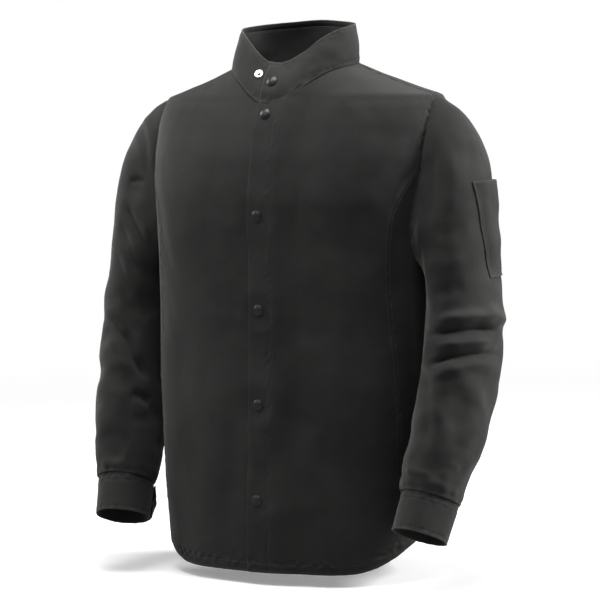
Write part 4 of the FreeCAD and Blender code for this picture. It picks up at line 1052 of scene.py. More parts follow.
def drape_torso():
    angles = np.arange(96) * 3.75
    bottom = hem_z(angles)
    z = bottom[:, None] + (TORSO_DRAPE_TOP - bottom[:, None]) * np.linspace(0, 1, 50)[None]
    points = torso_at(angles[:, None], z)
    armhole = armhole_at(np.linspace(0, ARM_COUNT, 120, endpoint=False))
    folded = np.abs(points * [1, 0, 0]) + points * [0, 1, 1]
    near = np.sqrt(((folded[:, :, None] - armhole[None, None])**2).sum(-1)).min(-1)
    x, y = points[..., 0], points[..., 1]
    hole = (np.abs(x) > 150) & (z > 452) & (y > -62) & (y < 66)
    pin = np.maximum(np.maximum(1 - (TORSO_DRAPE_TOP - z) / 14.0, 1 - near / 12.0),
                     np.where(hole, 1.0, 0.0))
    front = bell(x, 22.0) * (y < 0)
    inside = 2.2 + 3.0 * smooth((520.0 - z) / 300.0) * (1 - front)
    rise = drape(points, torso_normal(points), pin, inside, grow=0.016, frames=26, limit=6.0,
                 bend=60.0)
    rise = soften(rise, 2.1) - soften(rise, 9.0)
    return rise * smooth((TORSO_DRAPE_TOP - z) / 130.0)


def read_torso_drape(points):
    """The draped height at any point of the torso."""
    rows, columns = 480, 520
    z = points[..., 2]
    middle, half_depth = torso_depth(z)
    angle = np.degrees(np.arctan2((points[..., 1] - middle) / half_depth,
                                  points[..., 0] / HALF_W(z))) % 360.0
    bottom = hem_z(angle)
    rise = np.clip((z - bottom) / (TORSO_DRAPE_TOP - bottom), 0, 1)
    fine = refine_along(np.linspace(0, 1, TORSO_DRAPE.shape[1]), refine_round(TORSO_DRAPE, rows),
                        np.linspace(0, 1, columns))
    x, y = angle / 360.0 * rows, rise * (columns - 1)
    i, j = x.astype(int) % rows, np.minimum(y.astype(int), columns - 2)
    part_x, part_y = x - np.floor(x), y - j
    after = (i + 1) % rows
    lower = fine[i, j] * (1 - part_x) + fine[after, j] * part_x
    upper = fine[i, j + 1] * (1 - part_x) + fine[after, j + 1] * part_x
    return (lower * (1 - part_y) + upper * part_y) * (z < TORSO_DRAPE_TOP)


TORSO_DRAPE = drape_torso()


# ---------------------------------------------------------------------------
# Materials
# ---------------------------------------------------------------------------
def new_material(name):
    material = bpy.data.materials.new(name)
    material.use_nodes = True
    return material, material.node_tree, material.node_tree.nodes["Principled BSDF"]


def set_inputs(tree, target, inputs):
    """Sets values, or links where a value is an output socket."""
    for key, value in inputs.items():
        if isinstance(value, bpy.types.NodeSocket):
            tree.links.new(value, target.inputs[key])
        else:
            target.inputs[key].default_value = value


def add_node(tree, kind, inputs=None, **properties):
    made = tree.nodes.new(kind)
    for key, value in properties.items():
        setattr(made, key, value)
    set_inputs(tree, made, inputs or {})
    return made


def calc(tree, operation, *terms):
    return add_node(tree, "ShaderNodeMath", dict(enumerate(terms)), operation=operation).outputs[0]


def noise(tree, coords, scale, detail, **more):
    inputs = {"Scale": scale, "Detail": detail, "Vector": coords, **more}
    return add_node(tree, "ShaderNodeTexNoise", inputs).outputs["Fac"]


def bump(tree, height, distance, **more):
    inputs = {"Distance": distance, "Height": height, **more}
    return add_node(tree, "ShaderNodeBump", inputs).outputs[0]


def map_range(tree, value, inputs, **properties):
    return add_node(tree, "ShaderNodeMapRange", {"Value": value, **inputs},
                    **properties).outputs[0]


def mix_colour(tree, factor, first, second, **properties):
    return add_node(tree, "ShaderNodeMix", {"Factor": factor, "A": first, "B": second},
                    data_type="RGBA", **properties).outputs["Result"]


def cloth_material(name, base, light, sheen, pitch=0.00125):
    """Cotton twill: diagonal ribs with painted shade in the grooves between them, fibre fuzz,
    uneven dye, worn turned edges.
    """
    material, tree, shader = new_material(name)
    cloth = add_node(tree, "ShaderNodeUVMap", uv_map="cloth").outputs[0]
    split = add_node(tree, "ShaderNodeSeparateXYZ", {0: cloth})
    across, along = split.outputs[0], split.outputs[1]
    coords = add_node(tree, "ShaderNodeTexCoord").outputs["Object"]

    # height of the weave: ribs, the finer threads crossing them, and fuzz
    rate = 2 * math.pi / pitch
    rib = calc(tree, "SINE", calc(tree, "ADD", calc(tree, "MULTIPLY", across, rate * 0.72),
                                  calc(tree, "MULTIPLY", along, rate * 0.69)))
    crossing = calc(tree, "SINE",
                    calc(tree, "SUBTRACT", calc(tree, "MULTIPLY", along, rate * 1.55),
                         calc(tree, "MULTIPLY", across, rate * 0.35)))
    weave = calc(tree, "ADD", rib, calc(tree, "MULTIPLY", crossing, 0.35))
    fuzz = noise(tree, coords, scale=900.0, detail=3.0)
    height = calc(tree, "ADD", weave, calc(tree, "MULTIPLY", fuzz, 1.3))
    fine = bump(tree, height, distance=0.00010, Strength=0.55)
    # body of the cloth, a couple of centimetres
    body = noise(tree, coords, scale=42.0, detail=5.0, Roughness=0.62)
    normal = bump(tree, body, distance=0.0011, Strength=0.5, Normal=fine)

    dye = noise(tree, coords, scale=7.0, detail=6.0, Roughness=0.6)
    dye = map_range(tree, dye, {"From Min": 0.37, "From Max": 0.63})
    dyed = mix_colour(tree, dye, (*base, 1), (*light, 1))
    # painted shade: the grooves between the ribs a touch darker than the ribs
    rib_groove_shade_and_speck = calc(tree, "ADD", calc(tree, "MULTIPLY", weave, 0.07), 0.97)
    speck = calc(tree, "MULTIPLY", calc(tree, "SUBTRACT", fuzz, 0.5), 0.35)
    rib_groove_shade_and_speck = calc(tree, "ADD", rib_groove_shade_and_speck, speck)
    groove_shade_grey = add_node(tree, "ShaderNodeCombineColor", {i: rib_groove_shade_and_speck for i in range(3)}).outputs[0]
    # the dye times the painted groove shade and the fibre specks
    dyed_with_groove_shade = mix_colour(tree, 1.0, dyed, groove_shade_grey, blend_type="MULTIPLY")

    wear = add_node(tree, "ShaderNodeAttribute", attribute_name="wear").outputs["Fac"]
    patches = noise(tree, coords, scale=160.0, detail=4.0)
    worn = calc(tree, "MULTIPLY", wear, calc(tree, "MULTIPLY", patches, 0.9))
    worn.node.use_clamp = True
    set_inputs(tree, shader, {
        "Normal": normal,
        "Base Color": mix_colour(tree, worn, dyed_with_groove_shade, (0.085, 0.083, 0.078, 1)),
        "Roughness": 0.78,
        "Specular IOR Level": 0.28,
        "Sheen Weight": sheen,
        "Sheen Roughness": 0.42,
        "Sheen Tint": (0.93, 0.93, 0.90, 1),
    })
    return material


def thread_material():
    material, tree, shader = new_material("thread")
    fibres = add_node(tree, "ShaderNodeTexNoise", {"Scale": 2500.0}).outputs["Fac"]
    set_inputs(tree, shader, {
        "Base Color": (0.022, 0.022, 0.022, 1),
        "Roughness": 0.55,
        "Sheen Weight": 0.25,
        "Normal": bump(tree, fibres, distance=0.0001),
    })
    return material


def metal_material(name, colour, rough, metallic=1.0, coat=0.0, wear=0.0):
    """Metal or lacquer with uneven roughness; with wear, it is rubbed through in patches."""
    material, tree, shader = new_material(name)
    coords = add_node(tree, "ShaderNodeTexCoord").outputs["Object"]
    grain = noise(tree, coords, scale=700.0, detail=3.0)
    set_inputs(tree, shader, {
        "Roughness": map_range(tree, grain, {"To Min": rough * 0.75,
                                             "To Max": min(1.0, rough * 1.35)}),
        "Base Color": (*colour, 1),
        "Metallic": metallic,
        "Coat Weight": coat,
        "Normal": bump(tree, grain, distance=0.00004, Strength=0.4),
    })
    if wear:
        patches = noise(tree, coords, scale=220.0, detail=6.0)
        patches = map_range(tree, patches, {"From Min": 0.60, "From Max": 0.78})
        rubbed = mix_colour(tree, calc(tree, "MULTIPLY", patches, wear), (*colour, 1),
                            (0.22, 0.20, 0.17, 1))
        set_inputs(tree, shader, {"Base Color": rubbed})
    return material


SHELL = cloth_material("shell_cloth", base=(0.0135, 0.0135, 0.0130),
                       light=(0.0260, 0.0260, 0.0250), sheen=0.24)
INNER = cloth_material("inner_cloth", base=(0.030, 0.030, 0.029), light=(0.042, 0.042, 0.041),
                       sheen=0.22)
TAPE = cloth_material("tape_cloth", base=(0.020, 0.020, 0.020), light=(0.026, 0.026, 0.026),
                      sheen=0.2, pitch=0.0009)
THREAD = thread_material()
LACQUER = metal_material("black_lacquer", colour=(0.030, 0.030, 0.031), rough=0.40,
                         metallic=0.55, coat=0.15, wear=0.25)
NICKEL = metal_material("nickel", colour=(0.72, 0.70, 0.66), rough=0.20)
DULL_NICKEL = metal_material("dull_nickel", colour=(0.42, 0.41, 0.39), rough=0.34)

# ---------------------------------------------------------------------------
# Body panels
# ---------------------------------------------------------------------------
LEFT_EDGE_X, RIGHT_EDGE_X = -15.0, -17.0    # free edges, each past the middle from its own side
FACING_W = 42.0
BODY_ALONG = stations(720.0, 1.5, 3.1, band=20.0, knots=[SEAM_SHARE])


def front_surface(edge_x):
    """Front from its free edge to the long seam, armhole, shoulder and neckline."""
    across = stations(250.0, 1.4, 2.9, band=12.0, knots=[FRONT_NECK_SHARE], extra=(32.0,))
    along = BODY_ALONG
    angles = mix(angle_of_x(edge_x, 3.0), seam_foot_angle(FRONT_SEAM_Y), across)
    bottom = torso_at(angles, hem_z(angles))
    neck_t = np.clip(across / FRONT_NECK_SHARE, 0, 1)
    shoulder_t = np.clip((across - FRONT_NECK_SHARE) / (1 - FRONT_NECK_SHARE), 0, 1)
    top = np.where((across <= FRONT_NECK_SHARE)[:, None],
                   neckline(mix(neck_angle_of_x(edge_x), SHOULDER_ANGLE, neck_t), NECK_TRIM),
                   shoulder_at(shoulder_t))
    z = mix(bottom[0, 2], top[0, 2], along)
    free = front_at_x(edge_x + mix(bottom[0, 0] - edge_x, top[0, 0] - edge_x, along), z)
    free[0], free[-1] = bottom[0], top[0]
    seam = side_edge(FRONT_SEAM_Y, FRONT_SEAM_TOP, bottom[-1], float(FRONT_KEY), 0.0, along)
    seam[0], seam[-1] = bottom[-1], top[-1]
    return coons(bottom, top, free, seam, across, along), across


def front_panel(tag, side, edge_x):
    flat, across = front_surface(edge_x)
    points, normals = torso_cloth(flat, side, left_lap if side > 0 else None)
    from_edge, from_seam, from_hem, from_top = edge_distances(points)
    shoulder = smooth((across - FRONT_NECK_SHARE - 0.01) / 0.03)[:, None]
    # the long seam is pressed flatter below the chest
    flatness = 0.4 + 0.6 * smooth((points[..., 2] - 400.0) / 90.0)
    relief = felled(from_seam) * flatness + pucker(points, from_seam, 21 if side > 0 else 22)
    relief += sunk_row(from_edge, 3.0, 0.30) + 0.14 * (1 - smooth((from_edge - 33.0) / 1.5))
    relief += sunk_row(from_edge, 32.0, 0.5) + pucker(points, from_edge - 32.0, 23, 0.16, 7)
    relief += hem_relief(points, from_hem)
    relief += shoulder * (sunk_row(from_top, 2.0, 0.30) + pucker(points, from_top, 25, 0.25, 7))
    wear = (0.5 * bell(from_hem, 2.5) + 0.20 * bell(from_edge, 2.0)
            + 0.22 * flatness**2 * bell(from_seam - 8.5, 1.4))
    piece = Piece()
    surface = sheet(piece, points, normals, CLOTH_HALF + relief, hem_inner(from_hem), wear=wear,
                    inner_material=2)
    stitch_rows(piece, surface, 0, FELLED_ROWS, ends=(True,))
    stitch_rows(piece, surface, 0, (3.0, 32.0), keep=slice(3, None))
    stitch_rows(piece, surface, 1, (HEM_ROW,))
    made = piece.build(f"{tag}_front_cloth", (SHELL, THREAD, INNER), "shell_cloth",
                       f"{tag}_front_panel", f"{tag}_front_fold")
    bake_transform(made)


def front_facing(tag, side, edge_x):
    """Strip behind the free edge of a front."""
    def raised(points):
        return (left_lap(points) if side > 0 else 0 * points[..., 0]) - FACING_DEPTH

    x = np.linspace(edge_x + 1.2, edge_x + FACING_W, 17)
    bottom = hem_z(angle_of_x(x, 4.0)) + 1.5
    top = neckline(neck_angle_of_x(x), 2.4)[:, 2]
    z = mix(bottom[:, None], top[:, None], np.linspace(0, 1, 221)[None])
    points, normals = torso_cloth(front_at_x(x[:, None] + 0 * z, z), side, raised)
    piece = Piece()
    sheet(piece, points, normals, CLOTH_HALF, CLOTH_HALF - 0.05)
    stitch_rows(piece, (points - normals * CLOTH_HALF, -normals), 0, (3.0,), ends=(True,),
                lengths=lengths_along(points, 0))
    made = piece.build(f"{tag}_front_facing_cloth", (INNER, THREAD), "inner_cloth",
                       f"{tag}_front_facing")
    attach(made, f"{tag}_front")


def side_surface():
    """Side panel, between the two long seams and up to the armhole."""
    across = stations(170.0, 1.6, 3.2, band=9.0)
    along = stations(420.0, 1.5, 3.2, band=18.0)
    angles = mix(seam_foot_angle(FRONT_SEAM_Y), seam_foot_angle(BACK_SEAM_Y), across)
    bottom = torso_at(angles, hem_z(angles))
    top = armhole_at(mix(float(FRONT_KEY), float(BACK_KEY), across))
    first, last = bottom[0], bottom[-1]

    def seam_y_at(seam_y, seam_top, z):
        z = np.minimum(z, seam_top)
        return side_at_y(seam_y(z), z)[..., 1]
    front_y = side_at_y(FRONT_SEAM_Y(top[:, 2]), top[:, 2])[:, 1]
    back_y = seam_y_at(BACK_SEAM_Y, BACK_SEAM_TOP, top[:, 2])
    share_top = np.clip((top[:, 1] - front_y) / (back_y - front_y), 0, 1)
    share_bottom = (bottom[:, 1] - first[1]) / (last[1] - first[1])
    z = mix(bottom[:, 2][:, None], top[:, 2][:, None], along[None])
    front_y = mix(first[1], seam_y_at(FRONT_SEAM_Y, FRONT_SEAM_TOP, z),
                  smooth((z - first[2]) / 60.0))
    back_y = mix(last[1], seam_y_at(BACK_SEAM_Y, BACK_SEAM_TOP, z),
                 smooth((z - last[2]) / 60.0))
    y = mix(front_y, back_y, mix(share_bottom[:, None], share_top[:, None], along[None]))
    return side_at_y(y, z)


def side_panel(tag, side):
    points, normals = torso_cloth(side_surface(), side)
    from_front, from_back, from_hem, from_top = edge_distances(points)
    relief = pucker(points, from_front, 31, 0.28, 7) + pucker(points, from_back, 32, 0.28, 7)
    relief += felled(from_top) + pucker(points, from_top, 33) + hem_relief(points, from_hem)
    piece = Piece()
    surface = sheet(piece, points, normals, CLOTH_HALF + relief, hem_inner(from_hem),
                    wear=0.5 * bell(from_hem, 2.5), inner_material=2)
    stitch_rows(piece, surface, 1, FELLED_ROWS, ends=(True,))
    stitch_rows(piece, surface, 1, (HEM_ROW,))
    made = piece.build(f"{tag}_side_cloth", (SHELL, THREAD, INNER), "shell_cloth",
                       f"{tag}_side_panel")
    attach(made, "jacket_body")


def back_surface():
    """Back, from the left long seam to the right one."""
    share = BACK_SHOULDER_SHARE
    outer = stations(125.0, 1.5, 3.3, end=False, band=12.0)
    centre = stations(215.0, 3.2, 3.2, start=False, end=False)
    across = np.r_[outer * share, (share + centre * (1 - 2 * share))[1:],
                   (1 - outer[::-1] * share)[1:]]
    seam_angle = seam_foot_angle(BACK_SEAM_Y)
    angles = mix(seam_angle, 180.0 - seam_angle, across)
    bottom = torso_at(angles, hem_z(angles))
    neck_t = np.clip((across - share) / (1 - 2 * share), 0, 1)
    top = neckline(mix(SHOULDER_ANGLE, 180.0 - SHOULDER_ANGLE, neck_t), NECK_TRIM)
    left, right = across <= share + 1e-9, across >= 1 - share - 1e-9
    top[left] = shoulder_at(1 - across[left] / share)
    top[right] = on_side(shoulder_at((across[right] - 1 + share) / share), -1)
    edges = []
    for end, side in ((0, 1), (-1, -1)):
        edge = on_side(side_edge(BACK_SEAM_Y, BACK_SEAM_TOP, on_side(bottom[end], side),
                                 float(BACK_KEY), float(ARM_COUNT), BODY_ALONG), side)
        edge[0], edge[-1] = bottom[end], top[end]
        edges.append(edge)
    return coons(bottom, top, *edges, across, BODY_ALONG), across


def back_panel():
    flat, across = back_surface()
    points, normals = torso_cloth(flat, 1)
    from_left, from_right, from_hem, from_top = edge_distances(points)
    from_seam = np.minimum(from_left, from_right)
    share = BACK_SHOULDER_SHARE
    shoulders = (1 - smooth((across - share + 0.03) / 0.02)
                 + smooth((across - 1 + share + 0.01) / 0.02))[:, None]
    relief = felled(from_left) + felled(from_right) + pucker(points, from_seam, 34)
    relief += shoulders * (felled(from_top, 7.5, 0.5) + pucker(points, from_top, 35))
    relief += hem_relief(points, from_hem)
    wear = 0.5 * bell(from_hem, 2.5) + 0.22 * bell(from_seam - 8.5, 1.4)
    piece = Piece()
    surface = sheet(piece, points, normals, CLOTH_HALF + relief, hem_inner(from_hem), wear=wear,
                    inner_material=2)
    stitch_rows(piece, surface, 0, FELLED_ROWS, ends=(False, True))
    stitch_rows(piece, surface, 1, (HEM_ROW,))
    for distance in (2.0, 5.9):
        for shoulder in (across < share - 0.004, across > 1 - share + 0.004):
            stitch_rows(piece, surface, 1, (distance,), ends=(True,), keep=shoulder)
    made = piece.build("back_cloth", (SHELL, THREAD, INNER), "shell_cloth", "back_panel")
    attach(made, "jacket_body")


SIDES = (("left", 1), ("right", -1))
FRONTS = (("left", 1, LEFT_EDGE_X), ("right", -1, RIGHT_EDGE_X))
for front in FRONTS:
    front_panel(*front)
for front in FRONTS:
    front_facing(*front)
for tag, side in SIDES:
    side_panel(tag, side)
back_panel()

# ---------------------------------------------------------------------------
# Stand collar
# ---------------------------------------------------------------------------
COLLAR_TOP_ROW, COLLAR_FOOT_ROW = 5.0, 4.5  # stitch rows in from the top and bottom edges


def collar_lap(points, side):
    """Height of the left collar end over the right one, highest at the snap."""
    if side < 0:
        return np.zeros(points.shape[:-1])
    away = np.linalg.norm(points - COLLAR_SNAP, axis=-1)
    height = 3.1 + (COLLAR_T + SNAP_STACK - 3.1) * smooth((34.0 - away) / 22.0)
    return height * np.where(points[..., 1] < 0, smooth((46.0 - points[..., 0]) / 34.0), 0)


def collar_half(side):
    """Half collar from its free end to the middle of the back.

    Returns the points, the normals and the number of columns in the front piece.
    """
    rises = stations(COLLAR_H_SIDE - 4.0, 1.3, 2.2, band=7.0)
    end_angle = collar_angle_of_x(-13.0 if side > 0 else -15.0, rises)
    split_angle, back_angle, back_steps = -12.0, 90.0, 60
    front = [mix(end_angle, split_angle, t)
             for t in stations(135.0, 1.3, 2.8, end=False, band=8.0)]
    back = [np.full(len(rises), mix(split_angle, back_angle, i / back_steps))
            for i in range(1, back_steps + 1)]
    angle = np.array(front + back)
    rise = np.broadcast_to(rises, angle.shape)
    flat, normals = collar_at(angle, rise), collar_normal(angle, rise)
    out = (flat - [0, -18.2, 0]) * [1, 1, 0]
    normals = normals * np.sign((normals * out).sum(-1, keepdims=True))
    points, normals = on_side(flat, side), on_side(normals, side)
    height = drawn_folds(points, COLLAR_FOLDS) * smooth((-(normals @ FORWARD)) / 0.4)
    calm = (smooth((np.linalg.norm(points - COLLAR_SNAP, axis=-1) - 9) / 14.0)
            * smooth((np.linalg.norm(points - SPARE_STUD, axis=-1) - 8) / 10.0))
    height = height + 0.55 * waves(points, 30, 70, 16, 41) * smooth(rise / 0.35)
    height = height * calm * smooth(rise / 0.25) + collar_lap(points, side)
    return points + normals * height[..., None], normals, len(front)


def collar_relief(points, from_foot, from_top):
    return (sunk_row(from_top, COLLAR_TOP_ROW, 0.4) + sunk_row(from_foot, COLLAR_FOOT_ROW, 0.4)
            + pucker(points, from_top - COLLAR_TOP_ROW, 42, 0.20, 6)
            + pucker(points, from_foot - COLLAR_FOOT_ROW, 43, 0.25, 7))


def collar_end(tag, half):
    points, normals, count = half
    from_end, _, from_foot, from_top = edge_distances(points)
    relief = collar_relief(points, from_foot, from_top)
    relief += sunk_row(from_end, 5.0, 0.35) * smooth((from_foot - 2) / 3)
    wear = 0.55 * bell(from_top, 2.2) + 0.4 * bell(from_end, 2.0)
    piece = Piece()
    surface = sheet(piece, points[:count], normals[:count], (COLLAR_T / 2 + relief)[:count],
                    COLLAR_T / 2, wear=wear[:count])
    stitch_rows(piece, surface, 1, (COLLAR_TOP_ROW,), ends=(True,), keep=slice(3, None))
    stitch_rows(piece, surface, 1, (COLLAR_FOOT_ROW,), keep=slice(3, None))
    stitch_rows(piece, surface, 0, (5.0,), keep=slice(3, -3))
    made = piece.build(f"collar_{tag}_cloth", (SHELL, THREAD), "shell_cloth",
                       f"collar_{tag}_end", f"{tag}_collar_fold")
    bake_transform(made)


def collar_back(points, normals):
    _, _, from_foot, from_top = edge_distances(points)
    piece = Piece()
    # the outer ply rolls over the top edge, so it is full thickness there
    roll = smooth((6.5 - from_top) / 1.5)
    surface = sheet(piece, points, normals,
                    COLLAR_T / 2 + collar_relief(points, from_foot, from_top),
                    -0.06 + (COLLAR_T / 2 + 0.06) * roll, wear=0.55 * bell(from_top, 2.2))
    stitch_rows(piece, surface, 1, (COLLAR_TOP_ROW,), ends=(True,))
    stitch_rows(piece, surface, 1, (COLLAR_FOOT_ROW,))
    made = piece.build("collar_back_cloth", (SHELL, THREAD), "shell_cloth", "collar_back")
    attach(made, "jacket_body")


def collar_lining(points, normals):
    """Inner ply of the back collar, stopping short of the rolled edge."""
    along = lengths_along(points, 1)
    keep = (along[:, -1:] - along).min(0) > 7.2
    points, normals = points[:, keep], normals[:, keep]
    piece = Piece()
    sheet(piece, points, normals, -0.10, COLLAR_T / 2, bulge=0.4)
    stitch_rows(piece, (points - normals * COLLAR_T / 2, -normals), 1, (2.4,), ends=(True,))
    made = piece.build("collar_lining_cloth", (INNER, THREAD), "inner_cloth", "collar_lining")
    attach(made, "jacket_body")


def hang_loop():
    """Tape hanging in a bow inside the back of the collar."""
    half_w, tape_w, sag = 32.0, 7.0, 20.0
    x = mix(-half_w, half_w, np.linspace(0, 1, 45))
    bow = 1 - (x / half_w)**2
    angle = np.degrees(np.arctan2(1.0, x / COLLAR_HALF_W))
    normals = collar_normal(angle, 0.16)
    normals = normals * np.sign((normals * [0, 1, 0]).sum(-1, keepdims=True))
    centre = (collar_at(angle, 0.16) - normals * (COLLAR_T / 2 + 0.95 + 1.5 * bow)[:, None]
              - vec(0, 0, sag * bow))
    across = unit(np.cross(unit(np.gradient(centre, axis=0)), normals))
    shares = np.linspace(-0.5, 0.5, 9)[None, :, None]
    points = centre[:, None] + across[:, None] * (tape_w * shares)
    piece = Piece()
    surface = sheet(piece, points, -normals[:, None] + 0 * points, 0.6, 0.6)
    stitch_rows(piece, surface, 1, (1.2,), ends=(False, True), pitch=2.6, length=1.9,
                radius=0.25)
    made = piece.build("hang_loop_tape", (TAPE, THREAD), "tape", "hang_loop")
    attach(made, "jacket_body")


collar_halves = [collar_half(side) for _, side in SIDES]
for (tag, side), half in zip(SIDES, collar_halves):
    collar_end(tag, half)
left_half, right_half = collar_halves
back_collar = [np.concatenate([left_half[i][left_half[2] - 1:],
                               right_half[i][right_half[2] - 1:-1][::-1]]) for i in (0, 1)]
collar_back(*back_collar)
collar_lining(*back_collar)
hang_loop()

# ---------------------------------------------------------------------------
# Sleeves
# ---------------------------------------------------------------------------
SLEEVE_ANGLES = np.arange(144) * 360.0 / 144


def sleeve_surface():
    """Left sleeve from armhole to cuff, its normals and the row where its two lengths part."""
    drops = stations(200.0, 1.5, 2.9, end=False, band=12.0)
    upper = np.linspace(SLEEVE_TOP, SLEEVE_SPLIT_Z, 27)[1:]
    lower = np.linspace(SLEEVE_SPLIT_Z, CUFF_Z + 24, 70)[1:]
    gathered = np.linspace(CUFF_Z + 24, CUFF_Z, 14)[1:]
    points = np.concatenate([
        sleeve_cap(SLEEVE_ANGLES[:, None], drops[None], 0.35),
        sleeve_ring(SLEEVE_ANGLES[:, None], np.r_[upper, lower, gathered][None])], 1)
    around = np.roll(points, -1, 0) - np.roll(points, 1, 0)
    normals = unit(np.cross(np.gradient(points, axis=1), around))
    # the normal on the outside of the sleeve has to point away from the body
    if normals[0, points.shape[1] - 20, 0] < 0:
        normals = -normals
    return points, normals, len(drops) + len(upper) - 1


def drape_sleeve(points, normals, side):
    """Draped height of the sleeve, run on a coarser grid."""
    run = lengths_along(points, 1).mean(0)
    wanted = np.arange(0.0, run[-1] + 4.0, 8.0)
    rows = np.unique([int(np.argmin(np.abs(run - place))) for place in wanted])
    coarse = points[::3, rows]
    places = run[rows]
    pin = np.broadcast_to(np.maximum(1 - places / 9.0, 1 - (run[-1] - places) / 9.0),
                          coarse.shape[:2])
    # close to the form at the shoulder, looser lower down
    inside = np.broadcast_to(2.0 + 3.0 * smooth((places - 120.0) / 160.0), coarse.shape[:2])
    rise = drape(coarse, normals[::3, rows], pin, inside, grow=0.045 if side > 0 else 0.040,
                 frames=28, limit=7.0, bend=30.0, flip=side < 0)
    rise = soften(rise, 1.0) - 0.8 * soften(rise, 7.0)
    return refine_along(places, refine_round(rise, len(SLEEVE_ANGLES)), run)


def sleeve_folds(points, normals, side):
    height = drawn_folds(points, LEFT_SLEEVE_FOLDS if side > 0 else RIGHT_SLEEVE_FOLDS)
    height *= smooth((-(normals @ FORWARD) + 0.12) / 0.35)
    hidden = np.zeros_like(height)
    for angle, z, width, half_height, amount in HIDDEN_FOLDS:
        away = angle_between(SLEEVE_ANGLES[:, None], angle)
        tilted = z + 0.12 * away
        hidden += (amount * np.exp(-(away / width)**2 * 1.2)
                   * bell(points[..., 2] - tilted, half_height))
    height = 1.35 * (height + hidden * smooth((normals @ FORWARD + 0.15) / 0.4))
    height += 0.6 * waves(points, 50, 100, 22, 51 + side, (1, 1, 0.8))
    return height + 0.10 * waves(points, 18, 34, 26, 61 + side)


def sleeve_cloth(side):
    """Middle surface, its normals, thickness relief, and distances from armhole and cuff."""
    flat, flat_normals, split = sleeve_surface()
    base, outward = on_side(flat, side), on_side(flat_normals, side)
    from_top = lengths_along(flat, 1)
    from_cuff = from_top[:, -1:] - from_top
    height = sleeve_folds(base, outward, side) + 0.75 * drape_sleeve(base, outward, side)
    # it hangs close against the side of the body there and cannot bulge out
    tight = (smooth((236.0 - np.abs(base[..., 0])) / 12.0)
             * smooth((500.0 - base[..., 2]) / 30.0))
    height = np.where(height > 0, height * (1 - 0.85 * tight), height)
    height = height * smooth(from_top / 26.0) * smooth(from_cuff / 20.0)
    # fullness gathered into the cuff, and the sleeve blousing a little over it
    turn = np.radians(SLEEVE_ANGLES)[:, None]
    random = np.random.default_rng(71 + side)
    pleats = sum(np.cos(k * turn + random.uniform(0, 6.28)) * random.uniform(0.5, 1.0)
                 for k in (7, 9, 11, 13, 16))
    height += 0.34 * pleats * bell(from_cuff - 9.0, 9.0)
    height += 0.7 * bell(from_cuff - 10.0, 7.0)
    # slight fullness of the sleeve head
    height += 0.8 * bell(from_top - 9.0, 8.0) * smooth((base[..., 2] - 560) / 60)
    points = base + outward * height[..., None]

    relief = pucker(points, from_top, 81 + side, 0.40, 9)
    relief += pucker(points, from_cuff, 83 + side, 0.30, 8)
    # lapped seam down the inner side
    from_seam = angle_between(SLEEVE_ANGLES[:, None], 186.0)
    seam_mm = np.abs(from_seam) * math.pi / 180.0 * 55.0
    relief += 0.45 * smooth((9.0 - seam_mm) / 1.6) * smooth((from_seam + 2) / 2.5)
    return points, outward, relief, from_top, from_cuff, split


def elbow_ramp(side):
    """Two points on the sleeve's axis in the frame, above and below the elbow; no blend between
    the upper sleeve and the forearm is made from them.
    """
    centre, down, _, _ = sleeve_frame(np.array(305.0))
    return tuple(in_frame(on_side(centre + down * reach, side)) for reach in (-37.0, 84.0))


def sleeve(tag, side):
    """The two lengths of a sleeve. Returns its outer points and normals of its middle."""
    points, outward, relief, from_top, from_cuff, split = sleeve_cloth(side)
    # normals come from the whole sleeve so that the two lengths meet without a line
    middle_n = grid_normals(points, outward, True)
    outer = points + middle_n * (CLOTH_HALF + relief)[..., None]
    inner = points - middle_n * CLOTH_HALF
    outer_n = grid_normals(outer, outward, True)
    inner_n = -grid_normals(inner, outward, True)
    cloth = np.stack([np.broadcast_to(np.radians(SLEEVE_ANGLES)[:, None] * 62.0,
                                      from_top.shape), from_top], -1)
    wear = 0.35 * bell(from_cuff, 2.5)
    round_count, end_row = len(SLEEVE_ANGLES), points.shape[1] - 1
    for is_upper, first, last in ((True, 0, split), (False, split, end_row)):
        part = slice(first, last + 1)
        rows = last - first + 1
        piece = Piece()
        faces = quad_grid(round_count, rows, True)
        piece.add(outer[:, part], outer_n[:, part], cloth[:, part], wear[:, part], faces)
        piece.add(inner[:, part], inner_n[:, part], cloth[:, part] + [7.0, 3.0],
                  wear[:, part] * 0, faces, material=2)
        ids = np.arange(round_count * rows).reshape(round_count, rows)
        for row, step in ((first, -1), (last, 1)):
            ring = ids[:, row - first]
            if row == split:
                piece.bridge(ring, ring + round_count * rows, material=2)
                continue
            # rounded edge at the armhole and at the cuff
            out = unit(outer[:, row] - outer[:, row - step])
            rim = piece.count + np.arange(round_count)
            piece.add((outer[:, row] + inner[:, row]) / 2 + out * 0.55, out, cloth[:, row], 0.3)
            piece.bridge(ring, rim)
            piece.bridge(rim, ring + round_count * rows)
        for angle in (189.0, 195.0):
            column = int(np.argmin(np.abs(angle_between(SLEEVE_ANGLES, angle))))
            stitch(piece, outer[column, part][2:-1], outer_n[column, part][2:-1])
        if not is_upper:
            stitch_rows(piece, (outer, outer_n), 1, (3.0,), ends=(True,), closed=True)
        name = "upper" if is_upper else "lower"
        nodes = ("sleeve_cap", "upper_sleeve") if is_upper else ("elbow_sleeve", "forearm_sleeve")
        made = piece.build(f"{tag}_{name}_sleeve_cloth", (SHELL, THREAD, INNER), "shell_cloth",
                           *(f"{tag}_{node}" for node in nodes))
        if is_upper:
            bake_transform(made)
        else:
            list(elbow_ramp(side))
            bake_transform(made)
    return outer, middle_n


